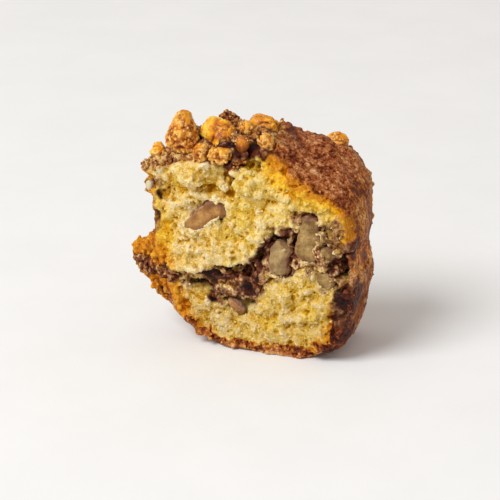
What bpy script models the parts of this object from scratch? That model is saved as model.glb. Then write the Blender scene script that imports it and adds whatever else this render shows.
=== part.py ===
"""Slice of a cinnamon walnut ring cake, standing on its bottom crust. Metres, +Z up.

The front cut face looks along -Y. The outer crust of the ring is at +X and the wall of its
middle hole at -X. The origin is in the middle of the flat of the bottom crust, and all is
modelled with the front cut face in the plane y = 0, then moved to FRONT_FACE_Y at the end.
A place is often given as (x, z): x is the distance outwards from the origin, along the
radius of the ring, so that the same (x, z) turns with the cake round the ring's own axis.
"""

import math
import random

import bmesh
import bpy
from mathutils import Matrix, Vector, noise

MM = 0.001
GAP = 0.35 * MM

# The ring and the slice cut from it
RING_RADIUS = 125.0 * MM
CRUST_X = 35.0 * MM
AXIS_X = CRUST_X - RING_RADIUS
SLICE_ANGLE = math.radians(17.0)
SECTIONS = 9
CROWN = 0.8 * MM
BASE_SINK = 0.5 * MM
FRONT_FACE_Y = -12.0 * MM

# Corners of the cross-section in mm: x, z, fillet radius. The crust side is fuller at the back.
FRONT_CORNERS = [
    (-30.0, 0.0, 24.0),
    (-43.5, 38.0, 60.0),
    (-46.0, 68.5, 6.0),
    (-20.0, 75.0, 25.0),
    (1.0, 78.5, 9.0),
    (31.0, 62.0, 15.0),
    (35.0, 47.0, 12.0),
    (32.6, 40.3, 2.0),
    (35.4, 32.0, 20.0),
    (31.0, 0.0, 24.0),
]
BACK_CORNERS = [
    (-29.5, 0.0, 24.0),
    (-43.0, 38.0, 60.0),
    (-44.0, 68.5, 6.0),
    (-18.0, 76.0, 25.0),
    (7.0, 81.5, 14.0),
    (36.0, 70.5, 18.0),
    (37.0, 48.0, 12.0),
    (33.6, 40.3, 2.0),
    (37.0, 31.0, 20.0),
    (33.0, 0.0, 22.0),
]

# Relief of the crumb and of the crust: (depth, width) of each size of bump
BODY_VOXEL = 3.8 * MM
CRUMB_RELIEF = [(0.85 * MM, 6.5 * MM), (0.55 * MM, 3.6 * MM)]
CRUST_RELIEF = [(0.70 * MM, 13.0 * MM), (0.35 * MM, 5.5 * MM)]

# The cinnamon filling in mm: its upper and its lower surface as (x, z)
FILLING_TOP = [
    (-60.0, 29.5),
    (-36.0, 30.0),
    (-12.0, 31.5),
    (-3.5, 35.0),
    (3.0, 46.0),
    (11.0, 50.0),
    (24.0, 50.5),
    (30.0, 44.0),
    (36.0, 42.0),
    (60.0, 42.0),
]
FILLING_BOTTOM = [
    (-60.0, 24.0),
    (-24.5, 24.5),
    (-17.0, 21.0),
    (-4.0, 20.0),
    (2.5, 30.0),
    (9.0, 32.0),
    (15.0, 37.0),
    (21.5, 37.0),
    (28.0, 34.5),
    (60.0, 36.5),
]
FILLING_DRIFT = 7.0 * MM
FILLING_WAVE = 1.2 * MM
FILLING_STEPS_ACROSS = 32
FILLING_STEPS_DEEP = 9

# Holes torn in the front face: x, y, z of the middle, then width, depth and height, all in mm
HOLES = {
    "under_crumb": ((-7.5, 0.0, 31.9), (11.0, 12.0, 4.4)),
    "over_nut": ((6.5, 0.0, 47.0), (9.0, 9.0, 4.6)),
    "beside_nut": ((11.9, 0.0, 43.2), (3.4, 10.0, 8.0)),
    "by_crust": ((30.0, 0.0, 39.2), (7.0, 9.0, 5.2)),
    "by_hole_wall": ((-37.8, 0.0, 57.6), (5.6, 8.0, 5.0)),
    "under_topping": ((-5.0, 0.0, 72.6), (8.5, 7.0, 4.6)),
}
HOLE_RELIEF = [(1.0 * MM, 4.0 * MM)]

# Torn flap of crust on the wall of the ring's hole: middle and size of its lumps, in mm
FLAP = [
    ((-38.6, 8.6, 16.4), (9.0, 8.4, 9.4)),
    ((-42.6, 9.0, 20.6), (10.0, 9.0, 10.0)),
    ((-47.2, 9.2, 25.4), (11.6, 8.8, 9.6)),
    ((-51.4, 8.8, 31.4), (9.8, 9.0, 11.6)),
    ((-45.0, 9.0, 28.6), (12.0, 8.0, 8.0)),
]

# Bed of cinnamon sugar that the nuts lie in, over the inner part of the top: as for the flap
TOPPING_BED = [
    ((-37.0, 5.6, 71.6), (12.0, 9.0, 8.0)),
    ((-30.0, 7.0, 74.0), (14.0, 11.0, 9.0)),
    ((-21.0, 9.4, 76.4), (14.0, 15.0, 9.0)),
    ((-11.0, 8.0, 78.2), (14.0, 12.0, 7.0)),
    ((-12.0, 16.4, 79.2), (14.0, 13.0, 8.0)),
    ((-3.0, 12.0, 79.8), (12.0, 14.0, 6.0)),
    ((-2.0, 20.0, 80.6), (12.0, 12.0, 6.0)),
    ((5.0, 12.0, 80.0), (8.0, 10.0, 4.0)),
]

# Broken walnut kernels. Each is a few rounded lobes: middle, size and tilt of each lobe from
# upright towards +X, in mm and degrees.
WALNUTS_ON_TOP = {
    "walnut_top_tall": [
        ((-32.9, 6.2, 84.0), (7.4, 7.2, 11.4), 4.0),
        ((-33.4, 6.0, 78.2), (12.0, 9.6, 9.6), 0.0),
        ((-30.2, 5.0, 77.4), (7.6, 7.4, 8.6), 20.0),
    ],
    "walnut_top_crown": [
        ((-22.8, 10.8, 81.6), (7.4, 8.6, 8.4), -12.0),
        ((-18.0, 10.2, 81.2), (8.4, 8.0, 6.4), 35.0),
        ((-19.2, 8.4, 78.4), (9.0, 6.6, 6.6), 0.0),
    ],
    "walnut_top_back": [
        ((-8.6, 19.8, 82.2), (7.6, 7.6, 8.2), -20.0),
        ((-4.2, 19.4, 82.0), (7.0, 7.4, 8.4), 15.0),
    ],
    "walnut_top_golden": [
        ((-18.4, 0.8, 75.4), (6.2, 5.8, 7.4), -15.0),
        ((-14.6, 1.2, 76.0), (5.4, 5.8, 6.4), 20.0),
    ],
    "walnut_top_front": [((-24.0, 1.2, 75.2), (5.8, 6.0, 7.6), 20.0)],
    "walnut_top_drop": [((-8.5, 2.6, 80.4), (5.8, 5.8, 7.6), -4.0)],
    "walnut_top_middle": [((-0.8, 6.0, 81.0), (7.6, 5.6, 5.4), 60.0)],
    "walnut_top_small": [((-10.6, 12.2, 83.0), (6.0, 6.0, 5.6), 20.0)],
    "walnut_top_rear": [((-35.6, 13.4, 75.2), (7.0, 6.0, 7.0), -15.0)],
    "walnut_top_edge": [((-42.4, 5.2, 73.2), (5.4, 5.8, 6.0), 30.0)],
    "walnut_top_far": [((18.6, 30.4, 75.8), (7.6, 6.2, 6.2), 25.0)],
}
WALNUTS_IN_CAKE = {
    "walnut_cut_left": [
        ((-27.0, 2.2, 48.4), (8.4, 7.0, 6.4), -40.0),
        ((-23.4, 2.2, 50.8), (10.4, 8.0, 6.2), -33.0),
        ((-19.6, 2.2, 53.8), (9.0, 8.0, 6.0), -30.0),
    ],
    "walnut_cut_tall": [
        ((18.2, 2.6, 51.6), (8.6, 9.0, 9.6), 8.0),
        ((17.8, 2.6, 47.6), (9.4, 9.4, 10.0), 8.0),
        ((17.2, 2.6, 43.4), (10.2, 9.0, 10.0), 14.0),
    ],
    "walnut_cut_middle": [
        ((6.5, 2.4, 41.0), (7.4, 8.0, 8.0), 0.0),
        ((5.8, 2.4, 36.0), (8.4, 8.0, 9.0), -10.0),
    ],
    "walnut_cut_small": [((24.4, 1.8, 42.8), (5.0, 5.0, 4.0), 15.0)],
    "walnut_cut_right": [((23.9, 1.9, 32.0), (6.4, 6.0, 5.4), 25.0)],
    "walnut_cut_sliver": [((-10.4, 1.8, 17.4), (7.6, 5.0, 2.8), 38.0)],
    "walnut_cut_pale": [((-44.8, 2.4, 60.4), (5.0, 5.4, 6.4), 0.0)],
}
NUT_VOXEL = 2.0 * MM
NUT_RELIEF = [(0.75 * MM, 4.2 * MM), (0.35 * MM, 2.2 * MM)]
KNIFE_Y = -0.9 * MM

# Clumps of cinnamon sugar fused to the top: middle and size in mm
CLUMPS = [
    ((-39.4, 1.6, 70.2), (8.0, 6.0, 6.0)),
    ((-44.6, 2.2, 68.2), (7.0, 6.0, 6.4)),
    ((-13.2, 0.6, 73.4), (6.0, 4.5, 8.0)),
    ((-27.6, 12.4, 79.6), (6.4, 6.0, 8.4)),
    ((-19.4, 17.4, 82.4), (9.4, 7.0, 9.4)),
    ((-13.6, 6.8, 80.2), (7.0, 5.5, 6.0)),
    ((3.4, 9.0, 79.8), (6.0, 5.0, 4.4)),
    ((-4.4, 12.6, 81.0), (6.5, 6.0, 5.2)),
    ((-38.6, 10.4, 73.0), (7.5, 6.0, 7.0)),
    ((-13.4, 21.6, 80.6), (6.4, 5.0, 5.6)),
]
CLUMP_RELIEF = [(1.4 * MM, 3.6 * MM)]
BITS = 16
BIT_SIZES = (2.4 * MM, 4.2 * MM)
BIT_REACH = (-41.0 * MM, 6.0 * MM)
BIT_RELIEF = [(0.8 * MM, 2.0 * MM)]
TOPPING_TOP = [(-43.0, 71.0), (-36.0, 75.0), (-22.0, 80.0), (-10.0, 82.0), (8.0, 81.5)]

COLOURS = {
    "crumb": (0.82, 0.62, 0.26, 1.0),
    "filling": (0.13, 0.055, 0.035, 1.0),
    "toasted_nut": (0.62, 0.30, 0.08, 1.0),
    "cut_nut": (0.50, 0.34, 0.19, 1.0),
}
ROUGHNESS = {"crumb": 0.85, "filling": 0.55, "toasted_nut": 0.5, "cut_nut": 0.55}


def clear_scene():
    for obj in list(bpy.data.objects):
        bpy.data.objects.remove(obj)


def material(name):
    made = bpy.data.materials.new(name)
    made.use_nodes = True
    shader = made.node_tree.nodes["Principled BSDF"]
    shader.inputs["Base Color"].default_value = COLOURS[name]
    shader.inputs["Roughness"].default_value = ROUGHNESS[name]
    shader.inputs["Metallic"].default_value = 0.0
    return made


def mm(values):
    return Vector(value * MM for value in values)


def smooth(share):
    share = min(max(share, 0.0), 1.0)
    return share * share * (3.0 - 2.0 * share)


def ring_point(x, z, angle):
    """The place (x, z) of the cross-section, turned by angle round the ring's axis."""
    radius = x - AXIS_X
    return Vector((AXIS_X + radius * math.cos(angle), radius * math.sin(angle), z))


def rounded_outline(corners, steps=5):
    """Points round a polygon whose corners are arcs, in metres."""
    points = []
    for i, (x, z, radius) in enumerate(corners):
        corner = Vector((x, z))
        before = Vector(corners[i - 1][:2]) - corner
        after = Vector(corners[(i + 1) % len(corners)][:2]) - corner
        half = before.angle(after) / 2.0
        reach = min(radius / math.tan(half), before.length / 2.0, after.length / 2.0)
        radius = reach * math.tan(half)
        bisector = (before.normalized() + after.normalized()).normalized()
        middle = corner + bisector * (radius / math.sin(half))
        start = corner + before.normalized() * reach - middle
        end = corner + after.normalized() * reach - middle
        for k in range(steps + 1):
            points.append((middle + start.slerp(end, k / steps) * radius) * MM)
    return points


def link(name, mesh_or_bmesh):
    """A new object in the scene, from a mesh or from a bmesh, which is freed."""
    mesh = mesh_or_bmesh
    if isinstance(mesh_or_bmesh, bmesh.types.BMesh):
        bmesh.ops.recalc_face_normals(mesh_or_bmesh, faces=mesh_or_bmesh.faces)
        if mesh_or_bmesh.calc_volume(signed=True) < 0.0:
            bmesh.ops.reverse_faces(mesh_or_bmesh, faces=mesh_or_bmesh.faces)
        mesh = bpy.data.meshes.new(name)
        mesh_or_bmesh.to_mesh(mesh)
        mesh_or_bmesh.free()
    obj = bpy.data.objects.new(name, mesh)
    bpy.context.scene.collection.objects.link(obj)
    return obj


def apply_modifiers(obj):
    bpy.context.view_layer.update()
    graph = bpy.context.evaluated_depsgraph_get()
    made = bpy.data.meshes.new_from_object(obj.evaluated_get(graph))
    obj.modifiers.clear()
    obj.data = made


def combine(obj, other, operation):
    """Joins other to obj, or cuts it away, and removes other."""
    cut = obj.modifiers.new("combine", "BOOLEAN")
    cut.operation = operation
    cut.solver = "MANIFOLD"
    cut.object = other
    apply_modifiers(obj)
    bpy.data.objects.remove(other)


def fuse(obj, pieces):
    """Joins many small pieces to obj by one union on their collection."""
    together = bpy.data.collections.new(obj.name + "_pieces")
    bpy.context.scene.collection.children.link(together)
    for piece in pieces:
        bpy.context.scene.collection.objects.unlink(piece)
        together.objects.link(piece)
    union = obj.modifiers.new("fuse", "BOOLEAN")
    union.operation = "UNION"
    union.solver = "MANIFOLD"
    union.operand_type = "COLLECTION"
    union.collection = together
    apply_modifiers(obj)
    for piece in pieces:
        bpy.data.objects.remove(piece)
    bpy.data.collections.remove(together)


def keep_largest_body(obj):
    """Drops the loose scraps and the sealed bubbles that cutting leaves."""
    form = bmesh.new()
    form.from_mesh(obj.data)
    left = set(form.verts)
    islands = []
    while left:
        island = []
        waiting = [left.pop()]
        while waiting:
            vert = waiting.pop()
            island.append(vert)
            for edge in vert.link_edges:
                other = edge.other_vert(vert)
                if other in left:
                    left.remove(other)
                    waiting.append(other)
        islands.append(island)
    islands.sort(key=len)
    for island in islands[:-1]:
        bmesh.ops.delete(form, geom=island, context="VERTS")
    form.to_mesh(obj.data)
    form.free()


def relief(point, bumps):
    """The height of the bumps at a point: the sum of noise of each depth and width."""
    return sum(depth * noise.noise(point / width) for depth, width in bumps)


def push_out(form, height):
    """Moves each vertex along its normal by height(vertex)."""
    form.normal_update()
    moves = [vert.normal * height(vert) for vert in form.verts]
    for vert, move in zip(form.verts, moves):
        vert.co += move


def add_ball(form, middle, size, tilt=0.0, fineness=3):
    """Adds a ball of the given middle, size and tilt about Y, in mm and degrees."""
    turn = Matrix.Rotation(math.radians(tilt), 4, "Y")
    place = Matrix.Translation(mm(middle)) @ turn @ Matrix.Diagonal((*mm(size), 1.0))
    bmesh.ops.create_icosphere(form, subdivisions=fineness, radius=0.5, matrix=place)


def lump(name, middle, size, bumps, tilt=0.0, fineness=2):
    """A craggy pebble."""
    form = bmesh.new()
    add_ball(form, middle, size, tilt, fineness)
    push_out(form, lambda vert: relief(vert.co, bumps))
    return link(name, form)


def even_faces(obj, voxel):
    """Fuses what overlaps in the object and gives it faces of one size."""
    remesh = obj.modifiers.new("even_faces", "REMESH")
    remesh.mode = "VOXEL"
    remesh.voxel_size = voxel
    apply_modifiers(obj)


def cake_body():
    """The whole slice: the cross-section lofted round the ring's axis from cut to cut."""
    front = rounded_outline(FRONT_CORNERS)
    back = rounded_outline(BACK_CORNERS)
    form = bmesh.new()
    loops = []
    for k in range(SECTIONS):
        share = k / (SECTIONS - 1)
        crown = CROWN * math.sin(math.pi * share)
        loop = []
        for a, b in zip(front, back):
            x, z = a.lerp(b, share)
            outwards = Vector((x, z - 0.038)).normalized()
            x += outwards.x * crown
            z += outwards.y * crown - BASE_SINK
            loop.append(form.verts.new(ring_point(x, z, share * SLICE_ANGLE)))
        loops.append(loop)
    count = len(front)
    for near, far in zip(loops, loops[1:]):
        for i in range(count):
            j = (i + 1) % count
            form.faces.new((near[i], near[j], far[j], far[i]))
    form.faces.new(loops[0])
    form.faces.new(list(reversed(loops[-1])))
    bmesh.ops.recalc_face_normals(form, faces=form.faces)
    for middle, size in FLAP + TOPPING_BED:
        add_ball(form, middle, size)
    body = link("body", form)
    even_faces(body, BODY_VOXEL)
    roughen(body)
    combine(body, slab("ground", lambda x, angle: -0.02, lambda x, angle: 0.0), "DIFFERENCE")
    return body


def roughen(body):
    """Open, bumpy crumb on the two cut faces and low waves on the crust."""
    back_normal = Vector((-math.sin(SLICE_ANGLE), math.cos(SLICE_ANGLE), 0.0))

    def height(vert):
        facing = max(-vert.normal.y, vert.normal.dot(back_normal))
        crumb = smooth((facing - 0.6) / 0.3)
        crust = 1.0 - crumb
        return crumb * relief(vert.co, CRUMB_RELIEF) + crust * relief(vert.co, CRUST_RELIEF)

    form = bmesh.new()
    form.from_mesh(body.data)
    push_out(form, height)
    form.to_mesh(body.data)
    form.free()


def height_along(points, x):
    """The height at x of a smooth line through the points, both in metres."""
    x /= MM
    for (x0, z0), (x1, z1) in zip(points, points[1:]):
        if x <= x1:
            return (z0 + (z1 - z0) * smooth((x - x0) / (x1 - x0))) * MM
    return points[-1][1] * MM


def filling_height(points, x, angle):
    """The filling wanders outwards and rises and falls a little towards the back cut."""
    share = angle / SLICE_ANGLE
    wave = FILLING_WAVE * math.sin(2.4 * share + x / (11.0 * MM)) * smooth(share)
    return height_along(points, x - FILLING_DRIFT * smooth(share)) + wave


def filling_top(x, angle):
    return filling_height(FILLING_TOP, x, angle)


def filling_bottom(x, angle):
    return filling_height(FILLING_BOTTOM, x, angle)


def slab(name, low, high):
    """A closed solid between two height functions, wider and deeper than the slice."""
    form = bmesh.new()
    layers = []
    for height in (low, high):
        rows = []
        for j in range(FILLING_STEPS_DEEP + 1):
            angle = SLICE_ANGLE * (-0.3 + 2.2 * j / FILLING_STEPS_DEEP)
            row = []
            for i in range(FILLING_STEPS_ACROSS + 1):
                x = (-62.0 + 116.0 * i / FILLING_STEPS_ACROSS) * MM
                row.append(form.verts.new(ring_point(x, height(x, angle), angle)))
            rows.append(row)
        layers.append(rows)
        for near, far in zip(rows, rows[1:]):
            for i in range(FILLING_STEPS_ACROSS):
                form.faces.new((near[i], near[i + 1], far[i + 1]))
                form.faces.new((near[i], far[i + 1], far[i]))
    lower, upper = (border(rows) for rows in layers)
    for i in range(len(lower)):
        j = (i + 1) % len(lower)
        form.faces.new((lower[i], lower[j], upper[j], upper[i]))
    return link(name, form)


def border(rows):
    """The vertices round the edge of a grid, in order."""
    right = [row[-1] for row in rows[1:-1]]
    left = [row[0] for row in reversed(rows[1:-1])]
    return rows[0] + right + list(reversed(rows[-1])) + left


def copy_of(obj, name):
    return link(name, obj.data.copy())


def cut_layers(body):
    """The upper and the lower cake and the filling between them, a thin gap apart."""
    upper = copy_of(body, "cake_upper")
    lower = copy_of(body, "cake_lower")
    filling = copy_of(body, "cinnamon_filling")
    bpy.data.objects.remove(body)
    below = slab("below", lambda x, angle: -0.03, lambda x, angle: filling_top(x, angle) + GAP)
    above = slab("above", lambda x, angle: filling_bottom(x, angle) - GAP, lambda x, angle: 0.12)
    combine(upper, below, "DIFFERENCE")
    combine(lower, above, "DIFFERENCE")
    combine(filling, slab("band", filling_bottom, filling_top), "INTERSECT")
    return upper, lower, filling


def add_topping(upper):
    """Cinnamon sugar: a few large clumps and many small bits, fused to the top."""
    pieces = []
    for i, (middle, size) in enumerate(CLUMPS):
        pieces.append(lump(f"clump_{i}", middle, size, CLUMP_RELIEF))
    rule = random.Random(5)
    for i in range(BITS):
        x = rule.uniform(*BIT_REACH)
        angle = SLICE_ANGLE * rule.uniform(0.06, 0.94)
        size = rule.uniform(*BIT_SIZES) / MM
        spot = ring_point(x, height_along(TOPPING_TOP, x), angle) / MM
        pieces.append(lump(f"bit_{i}", spot, (size, size, size), BIT_RELIEF, fineness=1))
    fuse(upper, pieces)


def tear_holes(layers):
    for middle, size in HOLES.values():
        for layer in layers:
            combine(layer, lump("hole", middle, size, HOLE_RELIEF), "DIFFERENCE")


def walnut(name, lobes, is_cut):
    """A broken kernel: one lobe as a lump, or some of them grown together. Some are cut flat."""
    if len(lobes) == 1:
        middle, size, tilt = lobes[0]
        nut = lump(name, middle, size, NUT_RELIEF, tilt)
    else:
        form = bmesh.new()
        for middle, size, tilt in lobes:
            add_ball(form, middle, size, tilt)
        nut = link(name, form)
        even_faces(nut, NUT_VOXEL)
        form = bmesh.new()
        form.from_mesh(nut.data)
        push_out(form, lambda vert: relief(vert.co, NUT_RELIEF))
        form.to_mesh(nut.data)
        form.free()
    if is_cut:
        form = bmesh.new()
        in_front = Matrix.Translation((0.0, KNIFE_Y - 0.05, 0.05)) @ Matrix.Scale(0.1, 4)
        bmesh.ops.create_cube(form, size=1.0, matrix=in_front @ Matrix.Scale(3.0, 4, (1, 0, 0)))
        combine(nut, link("knife", form), "DIFFERENCE")
    return nut


def pocket_for(nut):
    """The room that a kernel takes up in the cake, a thin gap larger than the kernel."""
    form = bmesh.new()
    form.from_mesh(nut.data)
    push_out(form, lambda vert: 1.5 * GAP)
    return link("pocket", form)


def add_walnuts(layers):
    """The kernels, each in a pocket of its own in the cake round it."""
    made = []
    kinds = ((WALNUTS_ON_TOP, "toasted_nut", False), (WALNUTS_IN_CAKE, "cut_nut", True))
    for table, finish, is_cut in kinds:
        for name, lobes in table.items():
            nut = walnut(name, lobes, is_cut)
            for layer in layers:
                combine(layer, pocket_for(nut), "DIFFERENCE")
            made.append((nut, finish))
    return made


def finish_piece(obj, look, parent):
    obj.data.transform(Matrix.Translation((0.0, FRONT_FACE_Y, 0.0)))
    obj.data.materials.clear()
    obj.data.materials.append(look)
    obj.data.shade_smooth()
    obj.data.set_sharp_from_angle(angle=math.radians(50.0))
    obj.parent = parent


def main():
    clear_scene()
    looks = {name: material(name) for name in COLOURS}
    slice_of_cake = bpy.data.objects.new("slice", None)
    bpy.context.scene.collection.objects.link(slice_of_cake)
    upper, lower, filling = layers = cut_layers(cake_body())
    add_topping(upper)
    tear_holes(layers)
    nuts = add_walnuts(layers)
    for layer in layers:
        keep_largest_body(layer)
    finish_piece(upper, looks["crumb"], slice_of_cake)
    finish_piece(lower, looks["crumb"], slice_of_cake)
    finish_piece(filling, looks["filling"], slice_of_cake)
    for nut, finish in nuts:
        finish_piece(nut, looks[finish], slice_of_cake)


main()
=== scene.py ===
import math

import bpy
import numpy as np
import openvdb
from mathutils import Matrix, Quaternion, Vector
from mathutils.kdtree import KDTree


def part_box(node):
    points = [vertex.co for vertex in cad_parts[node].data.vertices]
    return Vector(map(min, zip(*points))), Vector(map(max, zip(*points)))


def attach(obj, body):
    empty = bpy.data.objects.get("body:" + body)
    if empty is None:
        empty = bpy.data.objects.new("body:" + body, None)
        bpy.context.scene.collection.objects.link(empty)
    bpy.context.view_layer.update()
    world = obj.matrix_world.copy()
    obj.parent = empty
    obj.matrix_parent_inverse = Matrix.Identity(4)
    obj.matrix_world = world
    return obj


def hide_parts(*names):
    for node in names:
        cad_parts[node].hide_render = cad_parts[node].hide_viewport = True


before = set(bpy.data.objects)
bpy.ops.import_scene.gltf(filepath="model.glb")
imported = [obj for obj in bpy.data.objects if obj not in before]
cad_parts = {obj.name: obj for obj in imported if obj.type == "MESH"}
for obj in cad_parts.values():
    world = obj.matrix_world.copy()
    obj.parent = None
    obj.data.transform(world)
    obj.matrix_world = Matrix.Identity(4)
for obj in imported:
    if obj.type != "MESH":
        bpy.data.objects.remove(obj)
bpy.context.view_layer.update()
mm = 0.001

# The ring cake that the slice is cut from. All numbers are in mm, corners are x, z and rounding.
ring = {
    "axisX": -90.0,
    "sliceAngle": math.radians(17.0),
    "frontFaceY": -12.0,
    # grid that the outlines are read from
    "tableFrom": (-62.0, -4.0),
    "tableTo": (46.0, 100.0),
    "tableStep": 0.5,
    "frontCorners": [
        (-30, 0, 24), (-43.5, 38, 60), (-46, 68.5, 6), (-20, 75, 25), (1, 78.5, 9), (31, 62, 15),
        (35, 47, 12), (32.6, 40.3, 2), (35.4, 32, 20), (31, 0, 24),
    ],
    "backCorners": [
        (-29.5, 0, 24), (-43, 38, 60), (-44, 68.5, 6), (-18, 76, 25), (7, 81.5, 14), (36, 70.5, 18),
        (37, 48, 12), (33.6, 40.3, 2), (37, 31, 20), (33, 0, 22),
    ],
    # where the bare crumb ends and the cinnamon sugar on top begins, x and z
    "toppingEdge": [
        (-60, 66), (-46, 67), (-36, 69.5), (-30, 71.5), (-24, 73.6), (-18, 73), (-14, 69.5), (-9, 71),
        (-4, 75), (0, 78.5), (5, 82), (60, 120),
    ],
}

# Places that differ from the rest, as soft ellipsoids: x, y behind the front cut, z, and half sizes along
# x, y and z.
patches = {
    # syrup and wet cinnamon
    "wet": [
        (-17.5, 0, 28.8, 6.5, 3, 1.6), (-9, 0, 29.9, 6.5, 3, 2.2), (-3.6, 0, 31.6, 3, 3, 2.4),
        (-6.8, 0, 25.4, 3.4, 3, 4.6), (-2.4, 0, 36, 2.4, 3, 3.2), (-0.8, 0, 40, 2.2, 3, 3),
        (2.8, 0, 44.4, 2.8, 3, 2.6), (7.4, 0, 47.6, 3.6, 3, 2.1), (12.2, 0, 46.8, 2.6, 3, 2.8),
        (13.4, 0, 43.4, 2.2, 3, 4.2), (-21.4, 0, 25.4, 3, 3, 3.6), (-19.6, 0, 20.8, 1.9, 3, 2.6),
        (-41.4, 0, 50.5, 1.4, 2.5, 3), (30.6, 0, 39.6, 4.8, 4, 2.4), (32, 0, 25.5, 4.6, 4, 4.6),
        (-38.2, 0, 58.6, 3.4, 2.5, 2.3), (-8.5, 5, 77.4, 10.5, 9, 3.2), (-14.8, 0, 73.8, 3.2, 3, 2.8),
        (-12.4, 0, 68.4, 2.2, 2, 3.6), (-46.5, 9, 27, 2.2, 6, 1.8), (-41, 8, 18, 1.8, 5, 2.4),
        (-44, 6, 33, 1.4, 4, 3),
    ],
    # a thin glaze over the crust
    "glazed": [(5, 10, 84, 8, 16, 5), (33, 8, 22, 5, 8, 8)],
    # paler crumb that shows through the filling
    "bare": [
        (-28.5, 0, 25.6, 5.6, 4, 3.2), (-14, 0, 25.4, 5, 4, 1.8), (19, 0, 35, 5.6, 4, 4.4),
        (25.5, 0, 43, 2.6, 4, 4), (21.5, 0, 31, 5, 4, 2.4), (5, 0, 31, 5, 4, 2.6), (24, 0, 50, 4, 4, 4),
    ],
    # dark baked crust that runs in over the cut; at the lower right it is also darkened as painted shade
    "baked": [
        (34, 0, 25, 5.6, 8, 9), (31.8, 0, 13, 6.2, 8, 9), (26.5, 0, 4, 7, 8, 4.6), (12, 0, 1.4, 14, 8, 3.4),
        (-9, 0, 0.8, 13, 8, 3.2), (-22, 0, 3, 5, 8, 3.8), (-28.6, 0, 7.6, 3, 8, 3.4),
        (34.5, 0, 45, 2.6, 8, 6),
    ],
    # darker cinnamon sugar
    "brown": [
        (-14.3, 14, 89, 6, 12, 5), (-24, 12, 86, 3.6, 12, 5), (6, 8, 82, 8, 18, 6), (-20, 5, 80, 3, 6, 3),
        (-6, 16, 86, 4, 8, 4),
    ],
    # painted light: paler cinnamon sugar on some lumps of the topping, where more light falls
    "paintedLitSugar": [(-43, 4, 69, 5, 8, 4), (-31, 4, 73, 4, 6, 3), (2, 10, 82, 5, 6, 3)],
    # crumb tinted brown by cinnamon
    "stain": [
        (-25, 0, 24, 6, 4, 2.2), (-17, 0, 20.5, 5, 4, 2.6), (-31, 0, 27, 7, 4, 2), (4, 0, 38, 7, 4, 8),
        (20, 0, 46, 9, 4, 8), (27, 0, 40, 9, 4, 11), (15.5, 0, 55.5, 5, 3, 3), (8, 0, 50.5, 5, 3, 1.8),
        (-42, 0, 50, 2, 4, 9), (-41.5, 0, 63, 3, 4, 3), (-8, 0, 21, 6, 3, 3), (26.5, 0, 51, 5, 3, 6.5),
        (30, 0, 22, 4, 4, 6), (12.5, 0, 43, 3, 3, 6),
    ],
    # deeper yellow, moist crumb
    "gold": [
        (-8.6, 0, 54.5, 4.5, 3, 5.5), (-14.5, 0, 45.4, 4, 3, 3), (12, 0, 69, 10, 4, 4),
        (17, 0, 60.5, 7, 3, 3), (-9, 0, 66, 4, 3, 4), (2, 0, 75, 6, 4, 4), (-20, 0, 63, 3, 3, 5),
        (30.5, 0, 52, 4.5, 4, 9), (27, 0, 60, 5, 4, 5), (-37.5, 0, 42, 3, 3, 8), (4, 0, 12, 4, 3, 3),
        (18, 0, 19, 3, 3, 3), (-33, 0, 62, 2.5, 3, 4),
    ],
}


# Numbers and noise

def smoothStep(low, high, value):
    t = np.clip((value - low) / (high - low), 0.0, 1.0)
    return t * t * (3.0 - 2.0 * t)


def cornersOf(part):
    # steps to the eight corners of a cell, with the weight of each for a point that far into the cell
    for dx, dy, dz in np.ndindex(2, 2, 2):
        weight = np.abs(1 - dx - part[:, 0]) * np.abs(1 - dy - part[:, 1]) * np.abs(1 - dz - part[:, 2])
        yield dx, dy, dz, weight


def valueNoise(points, size, seed):
    # smooth noise from -1 to 1 with bumps of the given size
    table = np.random.default_rng(seed).uniform(-1.0, 1.0, 4096).astype(np.float32)
    scaled = points / size + 1000.0
    cell = np.floor(scaled).astype(np.int64)
    part = (scaled - cell).astype(np.float32)
    part = part * part * part * (part * (part * 6.0 - 15.0) + 10.0)
    total = np.zeros(len(points), np.float32)
    for dx, dy, dz, weight in cornersOf(part):
        key = (cell[:, 0] + dx) * 73856093 ^ (cell[:, 1] + dy) * 19349663 ^ (cell[:, 2] + dz) * 83492791
        total += weight * table[key & 4095]
    return total


def layeredNoise(points, layers, seed):
    # layers are (height, size of bump)
    total = np.zeros(len(points), np.float32)
    for i, (height, size) in enumerate(layers):
        total += height * valueNoise(points, size, seed + 17 * i)
    return total


# Where a point is in the slice

def roundedOutline(corners):
    arcSteps = 6
    points = []
    for i, (x, z, radius) in enumerate(corners):
        corner = Vector((x, z))
        before = Vector(corners[i - 1][:2]) - corner
        after = Vector(corners[(i + 1) % len(corners)][:2]) - corner
        half = before.angle(after) / 2.0
        reach = min(radius / math.tan(half), before.length / 2.0, after.length / 2.0)
        radius = reach * math.tan(half)
        middle = corner + (before.normalized() + after.normalized()).normalized() * (radius / math.sin(half))
        start = corner + before.normalized() * reach - middle
        end = corner + after.normalized() * reach - middle
        for k in range(arcSteps + 1):
            points.append(middle + start.slerp(end, k / arcSteps) * radius)
    return np.array(points)


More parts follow.
